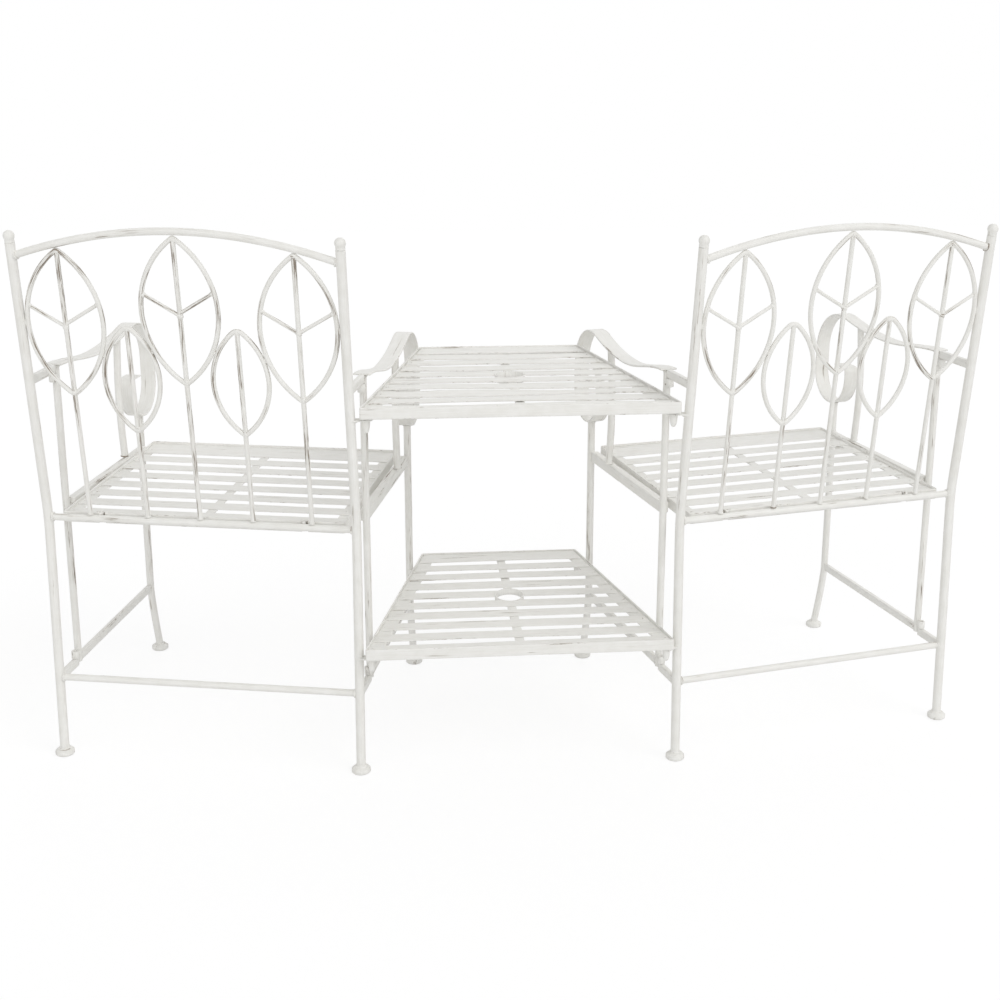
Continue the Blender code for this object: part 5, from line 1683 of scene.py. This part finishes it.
# %% Slats round the collar
BITE_RADIUS = COLLAR_RADIUS + 0.0004
BRIDGE = 0.004
BRIDGE_BAND = BRIDGE * 0.35
BITE_STEPS = 12
SHALLOW_BITE_STEPS = 10


def collar_bite(start, end, steps):
    """Points of the cut round the collar between two angles."""
    return [tuple(point) for point in arc_points(Vector((0.0, HOLE_Y)), BITE_RADIUS, start, end, steps)]


def slat_outlines(front, rear, inset):
    """Outlines of a slat, cut round the collar where it meets it."""
    whole = tapered(front, rear, inset)
    front_reach = HOLE_Y - front
    rear_reach = rear - HOLE_Y
    if front_reach > BITE_RADIUS and 0 < rear_reach < BITE_RADIUS:
        end = -math.asin((front_reach - BRIDGE) / BITE_RADIUS)
        bite = collar_bite(math.asin(rear_reach / BITE_RADIUS), end, BITE_STEPS)
        right = [(bite[-1][0], front), whole[1], whole[2], *bite]
        left = [(-x, y) for x, y in reversed(right)]
        return [right, left]
    if -BITE_RADIUS < front_reach < 0:
        start = math.acos(-front_reach / BITE_RADIUS)
        bite = collar_bite(math.pi / 2 + start, math.pi / 2 - start, SHALLOW_BITE_STEPS)
        return [[whole[0], *bite, *whole[1:]]]
    return [whole]


print("collar stands", HOLE_AHEAD, "m ahead of the rear edge")

# %% Pegs under the trays
PEG_LENGTH = 0.0265
PEG_TOP = -0.006
PEG_TIP = ((0.30, 0.0003), (0.52, 0.0014), (0.68, 0.0034), (0.80, 0.0066), (0.92, 0.0120))
WASHER_EASE = 0.0004
WASHER_ROOM = 0.0002


def peg_outline():
    """A peg from its tapered, rounded end up through its washer into the rim's corner."""
    tip = -TRAY_RIM_HEIGHT - PEG_LENGTH
    washer_low = -TRAY_RIM_HEIGHT - WASHER_THICKNESS
    shoulder = washer_low - 2 * EYE_THICKNESS
    point = [(PEG_RADIUS * share, tip + rise, NOT_WORN) for share, rise in PEG_TIP]
    washer = [(WASHER_RADIUS - WASHER_EASE, washer_low, WORN),
              (WASHER_RADIUS, washer_low + WASHER_EASE, WORN),
              (WASHER_RADIUS, -TRAY_RIM_HEIGHT - WASHER_ROOM, HARDLY_WORN)]
    return [(0.0, tip, NOT_WORN), *point,
            (PEG_RADIUS, shoulder, NOT_WORN), (PEG_RADIUS, washer_low, NOT_WORN), *washer,
            (PEG_RADIUS, -TRAY_RIM_HEIGHT, NOT_WORN), (PEG_RADIUS, PEG_TOP, NOT_WORN)]


print("peg", PEG_LENGTH, "m long")

# %% Slats of a tray
def draw_tray_slats(shape, low, top, bow):
    """The end bars and the slats, each with a spot weld near its two ends."""
    inset = TRAY_WALL - TUCK
    spans = [(TRAY_REAR - TRAY_REAR_BAR, TRAY_REAR - inset),
             (TRAY_FRONT + inset, TRAY_FRONT + TRAY_FRONT_BAR)]
    for i in range(TRAY_SLATS):
        slat_rear = TRAY_REAR - TRAY_REAR_BAR - TRAY_GAP - i * (TRAY_SLAT_WIDTH + TRAY_GAP)
        spans.append((slat_rear - TRAY_SLAT_WIDTH, slat_rear))
    level = Matrix.Identity(4)
    for front, rear in spans:
        for outline in slat_outlines(front, rear, SLAT_END_INSET):
            if len(outline) == 4:
                draw_slat(shape, outline, low, top, level, bow)
            else:
                cut_plate(shape, outline, low, top, rub_band=BRIDGE_BAND)
        middle = (front + rear) / 2
        for side in (-1, 1):
            spot_weld(shape, level, side * tray_half(middle, TRAY_WELD_INSET), middle, top)


print("gaps between a tray's slats:", round(TRAY_GAP * 1000, 1), "mm")

# %% Whole trays
BRACE_LAP = 0.001


def draw_tray(shape, peg_forwards, sheet, bow, collar_place):
    """A tray with its rim's top at height 0, slats of a sheet with a bow, and a collar set by a place."""
    wall = TRAY_WALL
    rim = rounded_line(tapered(TRAY_FRONT + wall / 2, TRAY_REAR - wall / 2, wall / 2), TRAY_RIM_BEND, True)
    draw_bar(shape, [(x, y, -TRAY_RIM_HEIGHT / 2) for x, y in rim],
             flat_section(TRAY_RIM_HEIGHT, wall, TRAY_RIM_CORNER), UP, closed=True)
    top = -TRAY_RIM_RISE
    low = top - sheet
    draw_tray_slats(shape, low, top, bow)
    inset = wall - TUCK
    front, rear = TRAY_FRONT + inset, TRAY_REAR - inset
    for side in (-1, 1):
        corners = ((front, TRAY_FLANGE), (front, inset), (rear, inset), (rear, TRAY_FLANGE))
        flange = [(side * tray_half(y, edge), y) for y, edge in corners]
        cut_plate(shape, flange if side > 0 else flange[::-1], low - FLANGE_SHEET, low)
    reach = COLLAR_RADIUS - BRACE_LAP
    for start, end in ((front, HOLE_Y - reach), (HOLE_Y + reach, rear)):
        brace = oblong(-BRACE_WIDTH / 2, BRACE_WIDTH / 2, start, end)
        cut_plate(shape, brace, low - FLANGE_SHEET, low)
    collar = ring_outline(HOLE_RADIUS, COLLAR_RADIUS, -COLLAR_HEIGHT, 0.0, COLLAR_EASE)
    turn_piece(shape, collar, standing_at((0.0, 0.0, top)) @ collar_place, sides=48, ring=True)
    for hand in (-1, 1):
        for forward in peg_forwards:
            peg_place = standing_at(chair_place(hand) @ peg_spot(-hand, forward))
            turn_piece(shape, peg_outline(), peg_place, sides=20)


print("braces lap the collars by", BRACE_LAP * 1000, "mm")

# %% [markdown]
# The table's slats are the most bent of the set, and its collar lies nearly flush. The shelf's collar
# was welded in a little crooked, and it is tilted here in the same way.

# %% Table and shelf
TABLE_SHEET = 0.0027
TABLE_BOW = 0.0034
TABLE_COLLAR_LIFT = 0.0004
TABLE_COLLAR = Matrix.Translation((0.0, HOLE_Y, TABLE_COLLAR_LIFT))
SHELF_SHEET = 0.0013
SHELF_BOW = 0.0014
SHELF_COLLAR_LIFT = 0.0020
SHELF_COLLAR_TILT = Matrix.Rotation(math.radians(-5.0), 4, "X")
SHELF_COLLAR = Matrix.Translation((0.0, HOLE_Y, SHELF_COLLAR_LIFT)) @ SHELF_COLLAR_TILT

table = Shape(Matrix.Translation((0.0, 0.0, TABLE_HEIGHT)))
draw_tray(table, (0.0, SUPPORT_FORWARDS["inner"]), TABLE_SHEET, TABLE_BOW, TABLE_COLLAR)
table.make("table_top", SLAT_PAINT, "table", "slat_paint")
shelf = Shape(Matrix.Translation((0.0, 0.0, SHELF_HEIGHT)))
draw_tray(shelf, (0.0, FRONT_LEG_FORWARD), SHELF_SHEET, SHELF_BOW, SHELF_COLLAR)
shelf.make("shelf", SLAT_PAINT, "lower_shelf", "slat_paint")
